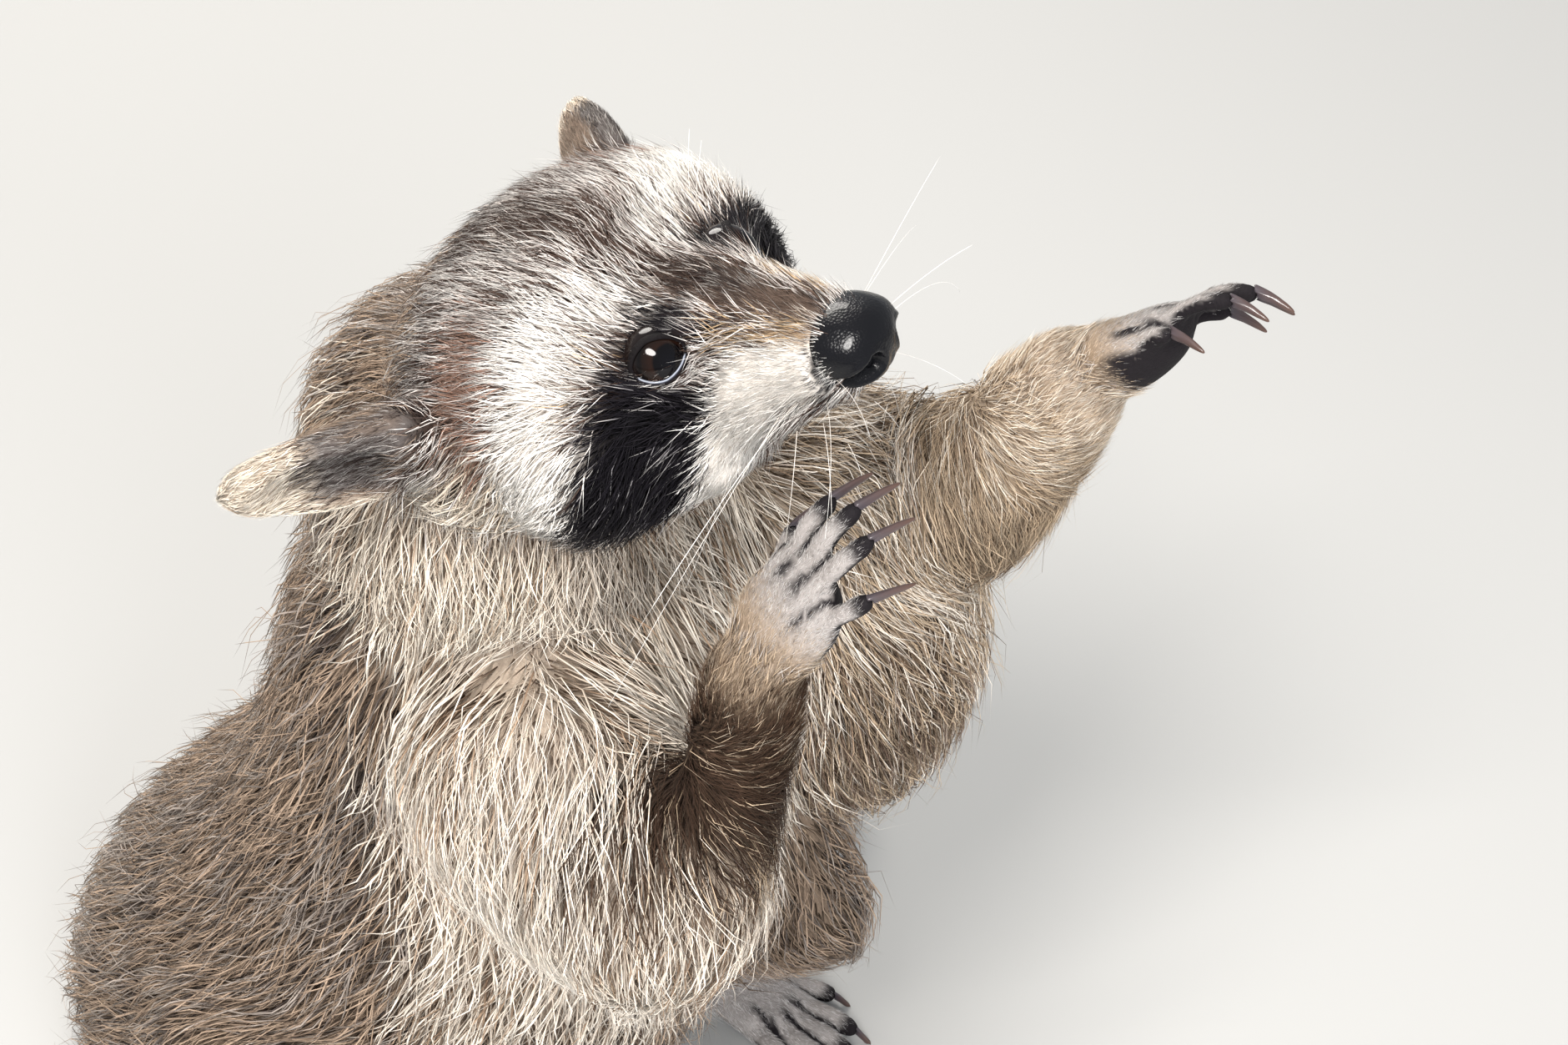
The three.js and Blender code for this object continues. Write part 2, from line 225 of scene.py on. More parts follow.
def mirrored(way, side):
    """A direction of the head's left side, turned over for points on its right."""
    return np.hstack([side * way[0], 0 * side + way[1], 0 * side + way[2]])


def left_sided(points):
    """Points in the head's frame, those on its right moved to the same place on its left."""
    points = np.array(points, float)
    points[:, 0] = np.abs(points[:, 0])
    return points


# ---- camera, floor and light
CAMERA_AZIMUTH = math.radians(-50)
CAMERA_HEIGHT = math.radians(43)
EYES_IN_VIEW = np.array([-21, 54.4, -635])      # right, up and back of the lens, in millimetres


def place_camera():
    right = np.array([math.cos(CAMERA_AZIMUTH), math.sin(CAMERA_AZIMUTH), 0])
    back = np.array([
        math.sin(CAMERA_AZIMUTH) * math.cos(CAMERA_HEIGHT),
        -math.cos(CAMERA_AZIMUTH) * math.cos(CAMERA_HEIGHT),
        math.sin(CAMERA_HEIGHT),
    ])
    turn = np.stack([right, np.cross(back, right), back])
    data = bpy.data.cameras.new("camera")
    data.lens = 60
    data.sensor_width = 36
    data.clip_end = 50
    camera = added("camera", data)
    matrix = np.eye(4)
    matrix[:3, :3] = turn.T
    matrix[:3, 3] = (HEAD_AT - EYES_IN_VIEW @ turn) * MM
    camera.matrix_world = Matrix(matrix.tolist())
    bpy.context.scene.camera = camera


def area_light(name, place, aim, size, power, colour):
    data = bpy.data.lights.new(name, "AREA")
    data.shape = "DISK"
    data.size = size
    data.energy = power
    data.color = colour
    lamp = added(name, data)
    lamp.location = place
    lamp.rotation_euler = (Vector(aim) - Vector(place)).to_track_quat("-Z", "Y").to_euler()
    return lamp


def studio():
    floor = new_object("floor", np.array([[-1, -1, 0], [1, -1, 0], [1, 1, 0], [-1, 1, 0]]) * 4000.0,
                       [[0, 1, 2, 3]])
    paint = bpy.data.materials.new("floor")
    paint.use_nodes = True
    surface = paint.node_tree.nodes["Principled BSDF"]
    surface.inputs["Base Color"].default_value = (0.42, 0.415, 0.40, 1)
    surface.inputs["Roughness"].default_value = 0.9
    floor.data.materials.append(paint)
    aim = HEAD_AT * MM
    area_light("key", (-1.1, -0.35, 1.9), aim, 0.7, 58, (1.0, 0.97, 0.94))
    fill = area_light("fill", (-0.75, -1.55, 0.8), aim, 1.2, 36, (0.95, 0.97, 1.0))
    fill.visible_glossy = False
    area_light("rim", (0.7, 1.3, 1.4), aim, 0.9, 30, (1.0, 0.96, 0.9))
    world = bpy.data.worlds.new("studio")
    world.use_nodes = True
    world.node_tree.nodes["Background"].inputs["Color"].default_value = (0.9, 0.94, 1.0, 1)
    world.node_tree.nodes["Background"].inputs["Strength"].default_value = 0.55
    bpy.context.scene.world = world


place_camera()
studio()
bpy.context.scene.view_settings.view_transform = "Standard"

# ---- pelts
# Hair colours at root, middle and tip, the share of hairs that differ, and the colours of those. The darker
# roots are partly the hair's own banding and partly painted shade deep in the coat.
PELTS = {
    "white": [(196, 184, 172), (238, 232, 224), (252, 250, 245), 0.07,
              (120, 104, 92), (168, 152, 138), (214, 204, 194)],
    "cream": [(160, 140, 122), (228, 214, 195), (247, 240, 227), 0.17,
              (98, 80, 66), (150, 128, 108), (196, 178, 158)],
    "black": [(13, 12, 13), (20, 18, 21), (38, 35, 41), 0.17,
              (40, 36, 38), (110, 106, 108), (222, 217, 212)],
    "forehead": [(36, 27, 24), (70, 54, 46), (106, 86, 76), 0.55,
                 (74, 60, 52), (216, 206, 198), (254, 251, 246)],
    "stripe": [(32, 25, 23), (62, 48, 42), (92, 75, 66), 0.33,
               (60, 48, 42), (178, 166, 156), (246, 241, 234)],
    "bridge": [(52, 42, 36), (98, 80, 69), (134, 114, 101), 0.3, (52, 42, 37), (84, 69, 60), (108, 92, 82)],
    "tan": [(124, 98, 74), (192, 162, 126), (218, 192, 156), 0.12,
            (84, 66, 52), (132, 108, 84), (170, 144, 116)],
    "dark": [(28, 23, 22), (54, 44, 41), (80, 68, 63), 0.26,
             (50, 43, 41), (152, 142, 134), (238, 232, 224)],
    "rufous": [(88, 63, 52), (146, 112, 95), (178, 148, 132), 0.25,
               (84, 65, 55), (194, 178, 168), (244, 238, 232)],
    "grey": [(120, 110, 105), (196, 188, 182), (232, 227, 221), 0.3,
             (40, 36, 36), (62, 56, 56), (96, 88, 88)],
    "agouti": [(64, 53, 47), (184, 160, 137), (110, 95, 86), 0.4,
               (50, 43, 40), (106, 95, 89), (222, 208, 194)],
    "pale": [(140, 118, 100), (224, 210, 192), (247, 240, 230), 0.2,
             (82, 66, 54), (144, 120, 99), (188, 164, 140)],
    "umber": [(28, 21, 17), (58, 43, 34), (90, 70, 55), 0.13,
              (90, 74, 60), (182, 160, 134), (236, 222, 202)],
    "sand": [(104, 86, 70), (178, 156, 130), (210, 190, 166), 0.24,
             (62, 49, 40), (98, 80, 64), (134, 114, 94)],
    "chest": [(46, 36, 31), (98, 80, 68), (142, 122, 107), 0.2,
              (82, 68, 58), (160, 142, 126), (212, 198, 182)],
    "hand": [(118, 110, 106), (186, 180, 175), (226, 222, 218), 0.28,
             (66, 60, 58), (104, 96, 92), (150, 142, 136)],
    "ear": [(84, 70, 60), (144, 124, 108), (176, 156, 138), 0.25,
            (58, 49, 43), (96, 82, 72), (128, 112, 98)],
    "ring": [(24, 20, 19), (38, 32, 29), (56, 48, 44), 0.07, (50, 44, 40), (100, 88, 78), (140, 126, 112)],
    "band": [(92, 76, 62), (170, 148, 122), (200, 180, 156), 0.3,
             (52, 44, 38), (92, 78, 66), (126, 110, 96)],
}
PELT_NAMES = list(PELTS)

# ---- the coat, part by part
# By a node's first word: pelt, depth of the coat, length of a lock, and how many times locks cover the skin.
REGIONS = {
    "head": ("forehead", 6, 14, 3.8),
    "ear": ("ear", 1.2, 6, 2.4),
    "neck": ("agouti", 12, 32, 3.4),
    "trunk": ("agouti", 15, 40, 2.0),
    "upper": ("agouti", 12, 34, 3.0),
    "forearm": ("sand", 6, 18, 2.8),
    "thigh": ("agouti", 12, 34, 1.9),
    "shank": ("agouti", 6, 18, 1.8),
    "hand": ("hand", 0.5, 3, 1.9),
    "foot": ("hand", 0.6, 4, 1.3),
    "tail": ("band", 10, 21, 2.2),
}
REGION_NAMES = list(REGIONS)
HAND, FOOT = REGION_NAMES.index("hand"), REGION_NAMES.index("foot")


def region_of(node):
    return REGION_NAMES.index(node.split("_")[0])


# Markings of the head: pelt, depth, length, softness, whether on both sides, points as (x, y, z, radius).
STROKES = [
    ("cream", 12, 32, 8, True, [(57, 36, -20, 12), (53, 42, -36, 15), (42, 46, -50, 14)]),
    ("white", 11, 28, 7, True, [(60, 28, -28, 9), (56, 26, -42, 12), (46, 30, -54, 12)]),
    ("agouti", 9, 26, 10, True, [(0, 86, 0, 24), (30, 76, -10, 20)]),
    ("rufous", 4.5, 12, 5, True, [(36, 40, 17, 7), (46, 36, 9, 9), (56, 34, 0, 8)]),
    ("dark", 6, 15, 4, True, [(34, 54, 16, 6), (43, 56, 9, 7), (50, 52, 4, 5)]),
    ("white", 5, 15, 5, True, [(13, 9, 12, 7), (25, 15, 14, 9), (38, 17, 9, 9.5), (49, 18, -2, 10),
                               (56, 19, -14, 10.5), (59, 20, -27, 10)]),
    ("tan", 4, 9, 3, True, [(24, 8, 8, 3), (34, 8, 3, 3), (44, 10, -2, 3)]),
    ("dark", 3, 10, 5, True, [(34, 30, -44, 7), (46, 22, -46, 7)]),
    ("black", 4, 14, 3, True, [(26, -4, 3, 8), (30, -5, -4, 12), (34, -6, -11, 15), (39, -4, -18, 17),
                               (44, 0, -26, 17)]),
    ("black", 8, 20, 5, True, [(45, 1, -33, 15), (43, 4, -42, 10)]),
    ("black", 1.6, 5, 3, True, [(15, 1, 7, 4.5)]),
    ("black", 1.2, 4, 2, True, [(19, -8, 2, 4), (13, -9, 3, 2.5)]),
    ("white", 1.8, 6, 3, True, [(13, -36, -8, 9), (19, -23, -10, 10), (21, -19, -22, 9),
                                (21, -10, -36, 10)]),
    ("grey", 1.8, 7, 4, True, [(3, -40, -27, 6), (9, -30, -36, 7), (13, -14, -43, 8)]),
    ("bridge", 1.6, 5, 3, False, [(-1, -39, 0, 4), (-2, -28, 4.5, 5.5), (-2, -15, 8.5, 8), (-1, -5, 11, 9)]),
    ("tan", 1.6, 5, 2.5, True, [(8.5, -34, 0, 2), (10, -26, 1, 2.5), (13, -17, 1, 2.5)]),
    ("cream", 1.4, 4.5, 2, True, [(4, -37.5, 3.5, 3.2), (6.5, -30, 6, 3.2), (8.5, -23, 7, 2.4)]),
    ("dark", 1.3, 5, 5, False, [(-1, -16, 8.5, 5), (0, -4, 12, 8)]),
    ("stripe", 4, 11, 6, False, [(0, -2, 12, 6), (0, 12, 16, 8), (-1, 30, 26, 11), (-2, 55, 25, 13)]),
    ("chest", 5, 14, 5, False, [(0, 0, -56, 12), (0, 30, -60, 20)]),
    ("black", 0.7, 2.5, 2, True, [(25, -2.5, 2, 8.5)]),
    ("black", 0.7, 2.2, 2, True, [(12, -6, 6, 3.5), (16, -3, 8, 4)]),
    ("black", 0.2, 1.5, 1.2, True, [(0, -36, 0, 1.5), (8, -38, -1, 2.4), (12, -37, -8, 2.4),
                                    (9, -38, -17, 2.4), (0, -39, -20, 2.4)]),
]


def reach(points, path, both):
    """How far inside a tapered stroke, or its twin on the other side, each point lies, in millimetres."""
    p = left_sided(points) if both else points
    path = np.asarray(path, float)
    best = np.full(len(p), -1e9)
    if len(path) == 1:
        return path[0, 3] - norms(p - path[0, :3])
    for a, b in zip(path[:-1], path[1:]):
        along = b[:3] - a[:3]
        t = np.clip((p - a[:3]) @ along / (along @ along), 0, 1)
        radius = a[3] + t * (b[3] - a[3])
        best = np.maximum(best, radius - norms(p - a[:3] - t[:, None] * along))
    return best


def soft(x, low, high):
    """0 up to low and 1 from high on, with a smooth rise between."""
    t = np.clip((x - low) / (high - low), 0, 1)
    return t * t * (3 - 2 * t)


HAND_AT = {side: centre(f"hand_{side}") for side in ("left", "right")}
# The way out of each hand's back, the way along it to the digits, and the way its arm's long hair hangs.
HAND_BACK = {"left": unit([0.25, 0.78, 0.57]), "right": unit([-0.87, 0.19, 0.40])}
HAND_ALONG = {"left": unit([0.52, -0.64, 0.57]), "right": unit([0.30, -0.36, 0.88])}
ARM_HANG = {"left": np.array([-0.35, -0.45, -0.8]), "right": np.array([0.4, -0.45, -0.8])}


def coat_of(points, share):
    """The coat over each point: pelt weights, and depth, length and cover."""
    on = dict(zip(REGION_NAMES, share.T))
    pelts = np.array([PELT_NAMES.index(values[0]) for values in REGIONS.values()])
    weights = share @ np.eye(len(PELTS))[pelts]
    numbers = share @ np.array([values[1:] for values in REGIONS.values()], float)

    def measure(amount, depth=None, length=None):
        for column, value in ((0, depth), (1, length)):
            if value is not None:
                numbers[:, column] += amount * (value - numbers[:, column])

    def paint(pelt, amount, depth=None, length=None):
        amount = np.clip(amount, 0, 1)
        one = np.eye(len(PELTS))[PELT_NAMES.index(pelt)]
        weights[:] = weights * (1 - amount[:, None]) + one * amount[:, None]
        measure(amount, depth, length)

    body = points - BODY_AT
    head = to_head(points)
    side = np.where(body[:, 0] > 0, 1, -1)
    # trunk, neck and arms: pale and long in front of the shoulders, dark brown down the chest
    torso = on["trunk"] + on["neck"] + on["upper"]
    shoulder = body[:, 1] + 2.1 * np.abs(body[:, 0])
    mantle = soft(-body[:, 1], -72, -50) * soft(-shoulder, -216, -184) * soft(body[:, 2], 110, 170)
    paint("pale", torso * mantle)
    middle = soft(-body[:, 1], -10, 20) * soft(-np.abs(body[:, 0]), -62, -36)
    paint("chest", (on["trunk"] + on["neck"]) * middle, 11, 26)
    collar = soft(-body[:, 1], -92, -60) * soft(np.abs(body[:, 0]), 14, 34)
    paint("cream", on["neck"] * collar, 13, 32)
    paint("chest", on["trunk"] * soft(-body[:, 1], -30, 10) * soft(-body[:, 2], -170, -120), 13, 30)
    # forearms: sandy and short to the wrist, umber and long above the right elbow
    left, right = (points - HAND_AT[name] for name in ("left", "right"))
    from_hand = np.where(side > 0, norms(left), norms(right))
    wristward = -np.where(side > 0, left @ HAND_ALONG["left"], right @ HAND_ALONG["right"])
    measure(on["forearm"], 1.2 + 9 * soft(from_hand, 25, 95), 6 + 24 * soft(from_hand, 30, 100))
    paint("sand", on["hand"] * soft(wristward, 0, 20))
    right_arm = (on["forearm"] + on["upper"]) * (side < 0)
    elbow = soft(body[:, 2], 282, 302) * soft(-body[:, 2], -352, -334) * soft(-body[:, 1], 6, 24)
    paint("pale", 0.5 * right_arm * soft(from_hand, 60, 95))
    paint("umber", 0.93 * right_arm * elbow)
    paint("pale", 0.8 * on["forearm"] * (side < 0) * soft(body[:, 0], -34, -22) * soft(from_hand, 30, 50))
    paint("chest", 0.75 * on["upper"] * (side > 0) * soft(-body[:, 2], -300, -240))
    paint("sand", 0.5 * on["upper"] * (side > 0))
    paint("cream", 0.4 * on["forearm"] * (side > 0) * soft(body[:, 2], 318, 345))
    # legs and feet: shorter towards the toes
    lower = soft(body[:, 2], 15, 80)
    measure(on["shank"], 2 + 8 * lower, 8 + 18 * lower)
    # tail rings, counted along its length
    along, _ = tail_course(points)
    ring = 0.5 + 0.5 * np.sin(along / TAIL_RING * 2 * math.pi)
    paint("ring", on["tail"] * np.maximum(soft(ring, 0.5, 0.75), soft(along, TAIL_BLACK, TAIL_BLACK + 12)))
    # ears: dark inside, cream along the rim and the tip
    paint("dark", on["ear"] * soft(ear_inside(head), 0.05, 0.4), 0.8, 6)
    paint("grey", 0.25 * on["ear"] * soft(ear_inside(head), 0.05, 0.4))
    paint("cream", on["ear"] * soft(ear_rim(head), 0.74, 0.92), 1.8, 9)
    for pelt, depth, length, softness, both, path in STROKES:
        paint(pelt, on["head"] * soft(reach(head, path, both), -softness, softness), depth, length)
    # nothing hangs through the floor
    numbers[:, 0] = np.minimum(numbers[:, 0], 1.5 + np.maximum(points[:, 2], 0) * 0.7)
    return weights, numbers


EAR_AXIS = unit([0.66, 0.62, 0.12])
EAR_ROOT = np.array([44, 47, -8])
EAR_CUP = 13                # half the width of the hollow
EAR_FACE = unit([0.68, -0.60, -0.43])
EAR_FACE = unit(EAR_FACE - EAR_AXIS * (EAR_FACE @ EAR_AXIS))
EAR_ACROSS = unit(np.cross(EAR_FACE, EAR_AXIS))


def ear_parts(head):
    """Millimetres along an ear from its root, across it and out of its cup."""
    p = left_sided(head) - EAR_ROOT
    return p @ EAR_AXIS, p @ EAR_ACROSS, p @ EAR_FACE


def ear_inside(head):
    """1 in the middle of the ear's cup, 0 on its back."""
    along, across, face = ear_parts(head)
    return np.where(along > 6, 1 - (across / EAR_CUP) ** 2, 0) * soft(face, -5, -2)


def ear_rim(head):
    """1 at the rim and the tip of the ear, less towards its middle."""
    along, across, _ = ear_parts(head)
    half = 16 * np.sqrt(np.clip(1 - ((along - 18) / 44) ** 2, 0.02, 1))
    return np.maximum(np.abs(across) / half * soft(along, 4, 18), along / 46)


TAIL_RING = 46              # from one dark ring to the next
TAIL_BLACK = 285            # where the dark tip starts
TAIL_COURSE = np.array([
    [centre("trunk")[0] + 20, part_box("trunk")[1][1] / MM - 70, 45],
    centre("tail_base"),
    [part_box("tail_middle")[1][0] / MM - 32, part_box("tail_base")[1][1] / MM - 40, 30],
    centre("tail_middle"),
    centre("tail_tip"),
    [centre("tail_tip")[0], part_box("tail_tip")[0][1] / MM, 22],
])


def tail_course(points):
    """Distance along the tail from its root, and the direction towards its tip."""
    best = np.full(len(points), 1e9)
    length = np.zeros(len(points))
    course = np.zeros((len(points), 3))
    done = 0.0
    for a, b in zip(TAIL_COURSE[:-1], TAIL_COURSE[1:]):
        step = np.linalg.norm(b - a)
        t = np.clip((points - a) @ (b - a) / step ** 2, 0, 1)
        away = norms(points - a - t[:, None] * (b - a))
        closer = away < best
        best = np.where(closer, away, best)
        length = np.where(closer, done + t * step, length)
        course[closer] = (b - a) / step
        done += step
    return length, course


# ---- the skin
FLESH = [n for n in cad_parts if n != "nose" and not n.startswith(("eye_", "claw_"))]
BAND = 9.0                  # cells of distance kept on each side of a surface
SOFT_BORDER = 8             # millimetres over which depths of coat blend
SKIN_FACES = 180000


def region_finder():
    """A tree over the flesh nodes' triangles, and each triangle's region."""
    points, faces, owner, start = [], [], [], 0
    for node in FLESH:
        p, f = shell_of(node, 0)
        points.append(p)
        faces.append(f + start)
        owner += [region_of(node)] * len(f)
        start += len(p)
    tree = BVHTree.FromPolygons(np.vstack(points).tolist(), np.vstack(faces).tolist())
    return tree, np.array(owner)


TREE, TREE_OWNER = region_finder()


def regions_at(points):
    return TREE_OWNER[[TREE.find_nearest(p)[2] for p in points.tolist()]]


def regions_over(mesh, rounds):
    """Each vertex's share of the regions, softened across their borders."""
    share = np.eye(len(REGION_NAMES))[regions_at(points_of(mesh))]
    return averaged(share, edges_of(mesh), rounds)


def level_field(points, faces, low, cell, shape):
    """Signed distances from a closed surface over a regular grid, in millimetres."""
    grid = openvdb.FloatGrid.createLevelSetFromPolygons(
        ((points - low) / cell).astype(np.float32), triangles=faces.astype(np.uint32), halfWidth=BAND)
    field = np.zeros(shape, np.float32)
    grid.copyToArray(field)
    return field * cell


def surface_of(field, low, cell, level):
    """The closed surface where a field takes a level, as points and triangles."""
    grid = openvdb.FloatGrid(BAND)
    grid.copyFromArray(field / cell)
    points, quads = grid.convertToQuads(level / cell)
    faces = np.vstack([quads[:, [0, 1, 2]], quads[:, [0, 2, 3]]]).astype(int)
    return points * cell + low, faces


def sunk_shell(nodes, cell, closing, deepest, deeper):
    """One closed surface under the coat of the nodes, the gaps between them closed first."""
    corners = np.array([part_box(n) for n in nodes]) / MM
    low = corners[:, 0].min(axis=0) - 4 * cell
    shape = tuple(np.ceil((corners[:, 1].max(axis=0) - low) / cell + 4).astype(int))
    field = np.full(shape, BAND * cell, np.float32)
    for node in nodes:
        field = np.minimum(field, level_field(*shell_of(node, 0), low, cell, shape))
    closed, faces = surface_of(field, low, cell, closing)
    field = level_field(closed, faces, low, cell, shape) + closing
    near = np.argwhere((field < 0.5 * cell) & (field > -deepest))
    inside = tuple(near.T)
    places = near * cell + low
    share = np.eye(len(REGION_NAMES))[regions_at(places)]
    depth = np.zeros(shape, np.float32)
    weight = np.zeros(shape, np.float32)
    depth[inside] = coat_of(places, share)[1][:, 0] + deeper(places, share)
    weight[inside] = 1
    for _ in range(round(SOFT_BORDER / cell)):
        depth = box_blur(depth)
        weight = box_blur(weight)
    sink = np.full(shape, deepest, np.float32)
    sink[inside] = depth[inside] / weight[inside] + own_sink(places, share)
    sink[field >= 0.5 * cell] = 0
    field = field + sink
    if nodes[0] in LIMBS:
        field[inside] = np.minimum(field[inside], digit_parts(places)[0])
    return surface_of(field, low, cell, 0)


def own_sink(places, share):
    """How much deeper the skin lies under the eyeballs and the nose, and around the digits."""
    past, away = from_opening(places)
    eye = 2.6 * soft(-past, -7, -1) * soft(-away, -12, -10.5)
    head = to_head(places)
    leather = norms((head - [0, 0, -8.5]) * [1, 0, 1])
    nose = 1.3 * soft(-head[:, 1], 35.5, 38) * soft(-leather, -14, -12.5)
    outside, along, _, _ = digit_parts(places)
    paws = share[:, HAND] + share[:, FOOT]
    return eye + nose + paws * 7 * soft(along, 0.0, 0.35) * soft(outside, -0.4, 0.8)


def box_blur(field):
    """Each cell becomes the mean of its three neighbours along each axis in turn."""
    for axis in range(3):
        field = (np.roll(field, 1, axis) + field + np.roll(field, -1, axis)) / 3
    return field


LIMBS = ("hand_left", "hand_right", "foot_left", "foot_right")
LIMB_REACH = 60             # no digit is further from the limb's middle
# Each digit, the first one first: its length, its turn in degrees off the limb's line and its droop.
DIGIT_SHAPES = {
    "hand": [(15, 22, 0.35), (22, 8, 0.4), (24, 3, 0.4), (23, -4, 0.4), (20, -16, 0.4)],
    "foot": [(22, 16, 0.2), (26, 6, 0.2), (28, 0, 0.2), (26, -6, 0.2), (21, -17, 0.2)],
}
DIGIT_RADIUS = {"hand": (3.1, 3.0, 2.6), "foot": (3.9, 3.8, 3.3)}      # at knuckle, middle and tip
DIGIT_SHARE = np.array([1, 0.85, 0.7, 0.5, 0.3, 0.1, -0.15, -0.4])      # stations, from tip to wrist
DROOP_FROM = 0.35           # the share of a digit where it starts to droop
DROOP_FALL = 1.4
CLAW_RISE = {"hand": 1.2, "foot": 1.7}
TIP_PAST_CLAW = 3.2         # how far a digit's tip passes its claw's root
TIP_BELOW_CLAW = 1.8
TOE_TURN = math.radians(6)


def limb_axes(limb):
    """The ways across to the first digit, along and out of the back of a hand or foot."""
    kind, side = limb.split("_")
    sign = 1 if side == "left" else -1
    along = np.array([math.sin(TOE_TURN) * sign, -math.cos(TOE_TURN), 0])
    back = np.array([0, 0, 1.0])
    if kind == "hand":
        along, back = HAND_ALONG[side], HAND_BACK[side]
    back = unit(back - along * (back @ along))
    return sign * np.cross(along, back), along, back


def digit_curves():
    """Each digit's middle line from its tip back past its knuckle, by limb: places and radii."""
    share = DIGIT_SHARE
    rise = 0.06 * np.sin(math.pi * np.clip(share, 0, 1)) + np.where(share < 0, 0.18 * share, 0)
    curves = {}
    for limb in LIMBS:
        kind = limb.split("_")[0]
        across, along, back = limb_axes(limb)
        knuckle, middle, tip = DIGIT_RADIUS[kind]
        radius = np.interp(share, [0.1, 0.65, 1], [knuckle, middle, tip])
        for number, (length, turn, droop) in enumerate(DIGIT_SHAPES[kind]):
            points, _ = shell_of(f"claw_{limb}_{number + 1}", 0)
            reach_out = (points - centre(limb)) @ along
            root = points[reach_out < np.percentile(reach_out, 25)].mean(axis=0)
            run = across * math.sin(math.radians(turn)) + along * math.cos(math.radians(turn))
            end = root + TIP_PAST_CLAW * run - (CLAW_RISE[kind] + TIP_BELOW_CLAW) * back
            fall = droop * DROOP_FALL * np.maximum(share - DROOP_FROM, 0) ** 2
            lift = rise - fall + droop * DROOP_FALL * (1 - DROOP_FROM) ** 2
            places = end + length * ((share - 1)[:, None] * run + lift[:, None] * back)
            curves.setdefault(limb, []).append((places, radius))
    return curves


def digit_parts(points):
    """Where points lie on the nearest digit.

    Millimetres outside it, the share along it, the side (1 on its back), and how much further the next is.
    """
    outside = np.full(len(points), 1e3)
    second = np.full(len(points), 2e3)
    along = np.full(len(points), -1.0)
    facing = np.zeros(len(points))
    for limb, curves in DIGITS.items():
        here = np.flatnonzero(norms(points - centre(limb)) < LIMB_REACH)
        p = points[here]
        back = limb_axes(limb)[2]
        for places, radius in curves:
            mine = np.full(len(p), 1e3)
            part = np.full(len(p), -1.0)
            side = np.zeros(len(p))
            for k in range(len(places) - 1):
                step = places[k + 1] - places[k]
                t = np.clip((p - places[k]) @ step / (step @ step), 0, 1)
                size = radius[k] + t * (radius[k + 1] - radius[k])
                arm = p - places[k] - t[:, None] * step
                away = norms(arm) - size
                closer = away < mine
                mine = np.where(closer, away, mine)
                station = DIGIT_SHARE[k] + t * (DIGIT_SHARE[k + 1] - DIGIT_SHARE[k])
                part = np.where(closer, station, part)
                side = np.where(closer, (arm @ back) / size, side)
            first = mine < outside[here]
            second[here] = np.where(first, outside[here], np.minimum(second[here], mine))
            outside[here] = np.where(first, mine, outside[here])
            along[here] = np.where(first, part, along[here])
            facing[here] = np.where(first, side, facing[here])
    return outside, along, facing, second - outside


def wrist_of(limb):
    """A place at the wrist or ankle, on the far side of the limb's middle from its claws."""
    claws = [centre(n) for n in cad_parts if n.startswith(f"claw_{limb}_")]
    return centre(limb) + (centre(limb) - np.mean(claws, axis=0)) * 0.55


DIGITS = digit_curves()
LIMBS_AT = [centre(limb) for limb in LIMBS]
WRISTS_AT = [wrist_of(limb) for limb in LIMBS]


def eased_shell(nodes, cell, closing, deepest, deeper, rounds, gentle):
    """One surface under the coat of the nodes, smoothed less where it is gentle."""
    thing = new_object("shell", *sunk_shell(nodes, cell, closing, deepest, deeper))
    share = regions_over(thing.data, 2)
    blur = share @ np.array([gentle.get(name, 0.5) for name in REGION_NAMES])
    set_points(thing.data, averaged(points_of(thing.data), edges_of(thing.data), rounds, blur))
    return thing


def by_region(values):
    """A depth for each named region, as sunk_shell asks for it."""
    return lambda places, share: share @ np.array([values.get(name, 0) for name in REGION_NAMES])


def into_limb(places, share):
    """Takes the arms and legs out of sight a little above the hands and feet."""
    return 8 * soft(nearest(places, LIMBS_AT), 36, 62)


def nothing(places, share):
    return 0


def cup_ears(thing):
    """Deepens the hollow of each ear and thins its rim."""
    mesh = thing.data
    points = points_of(mesh)
    normals = normals_of(mesh)
    head = to_head(points)
    side = np.sign(head[:, :1])
    along, across, _ = ear_parts(head)
    facing = np.sum((normals @ HEAD.T) * mirrored(EAR_FACE, side), axis=1)
    bowl = soft(1 - (across / EAR_CUP) ** 2, 0, 0.8) * soft(along, 12, 24) * soft(-along, -54, -42)
    set_points(mesh, points - normals * (2.4 * bowl * soft(facing, 0.1, 0.6))[:, None])


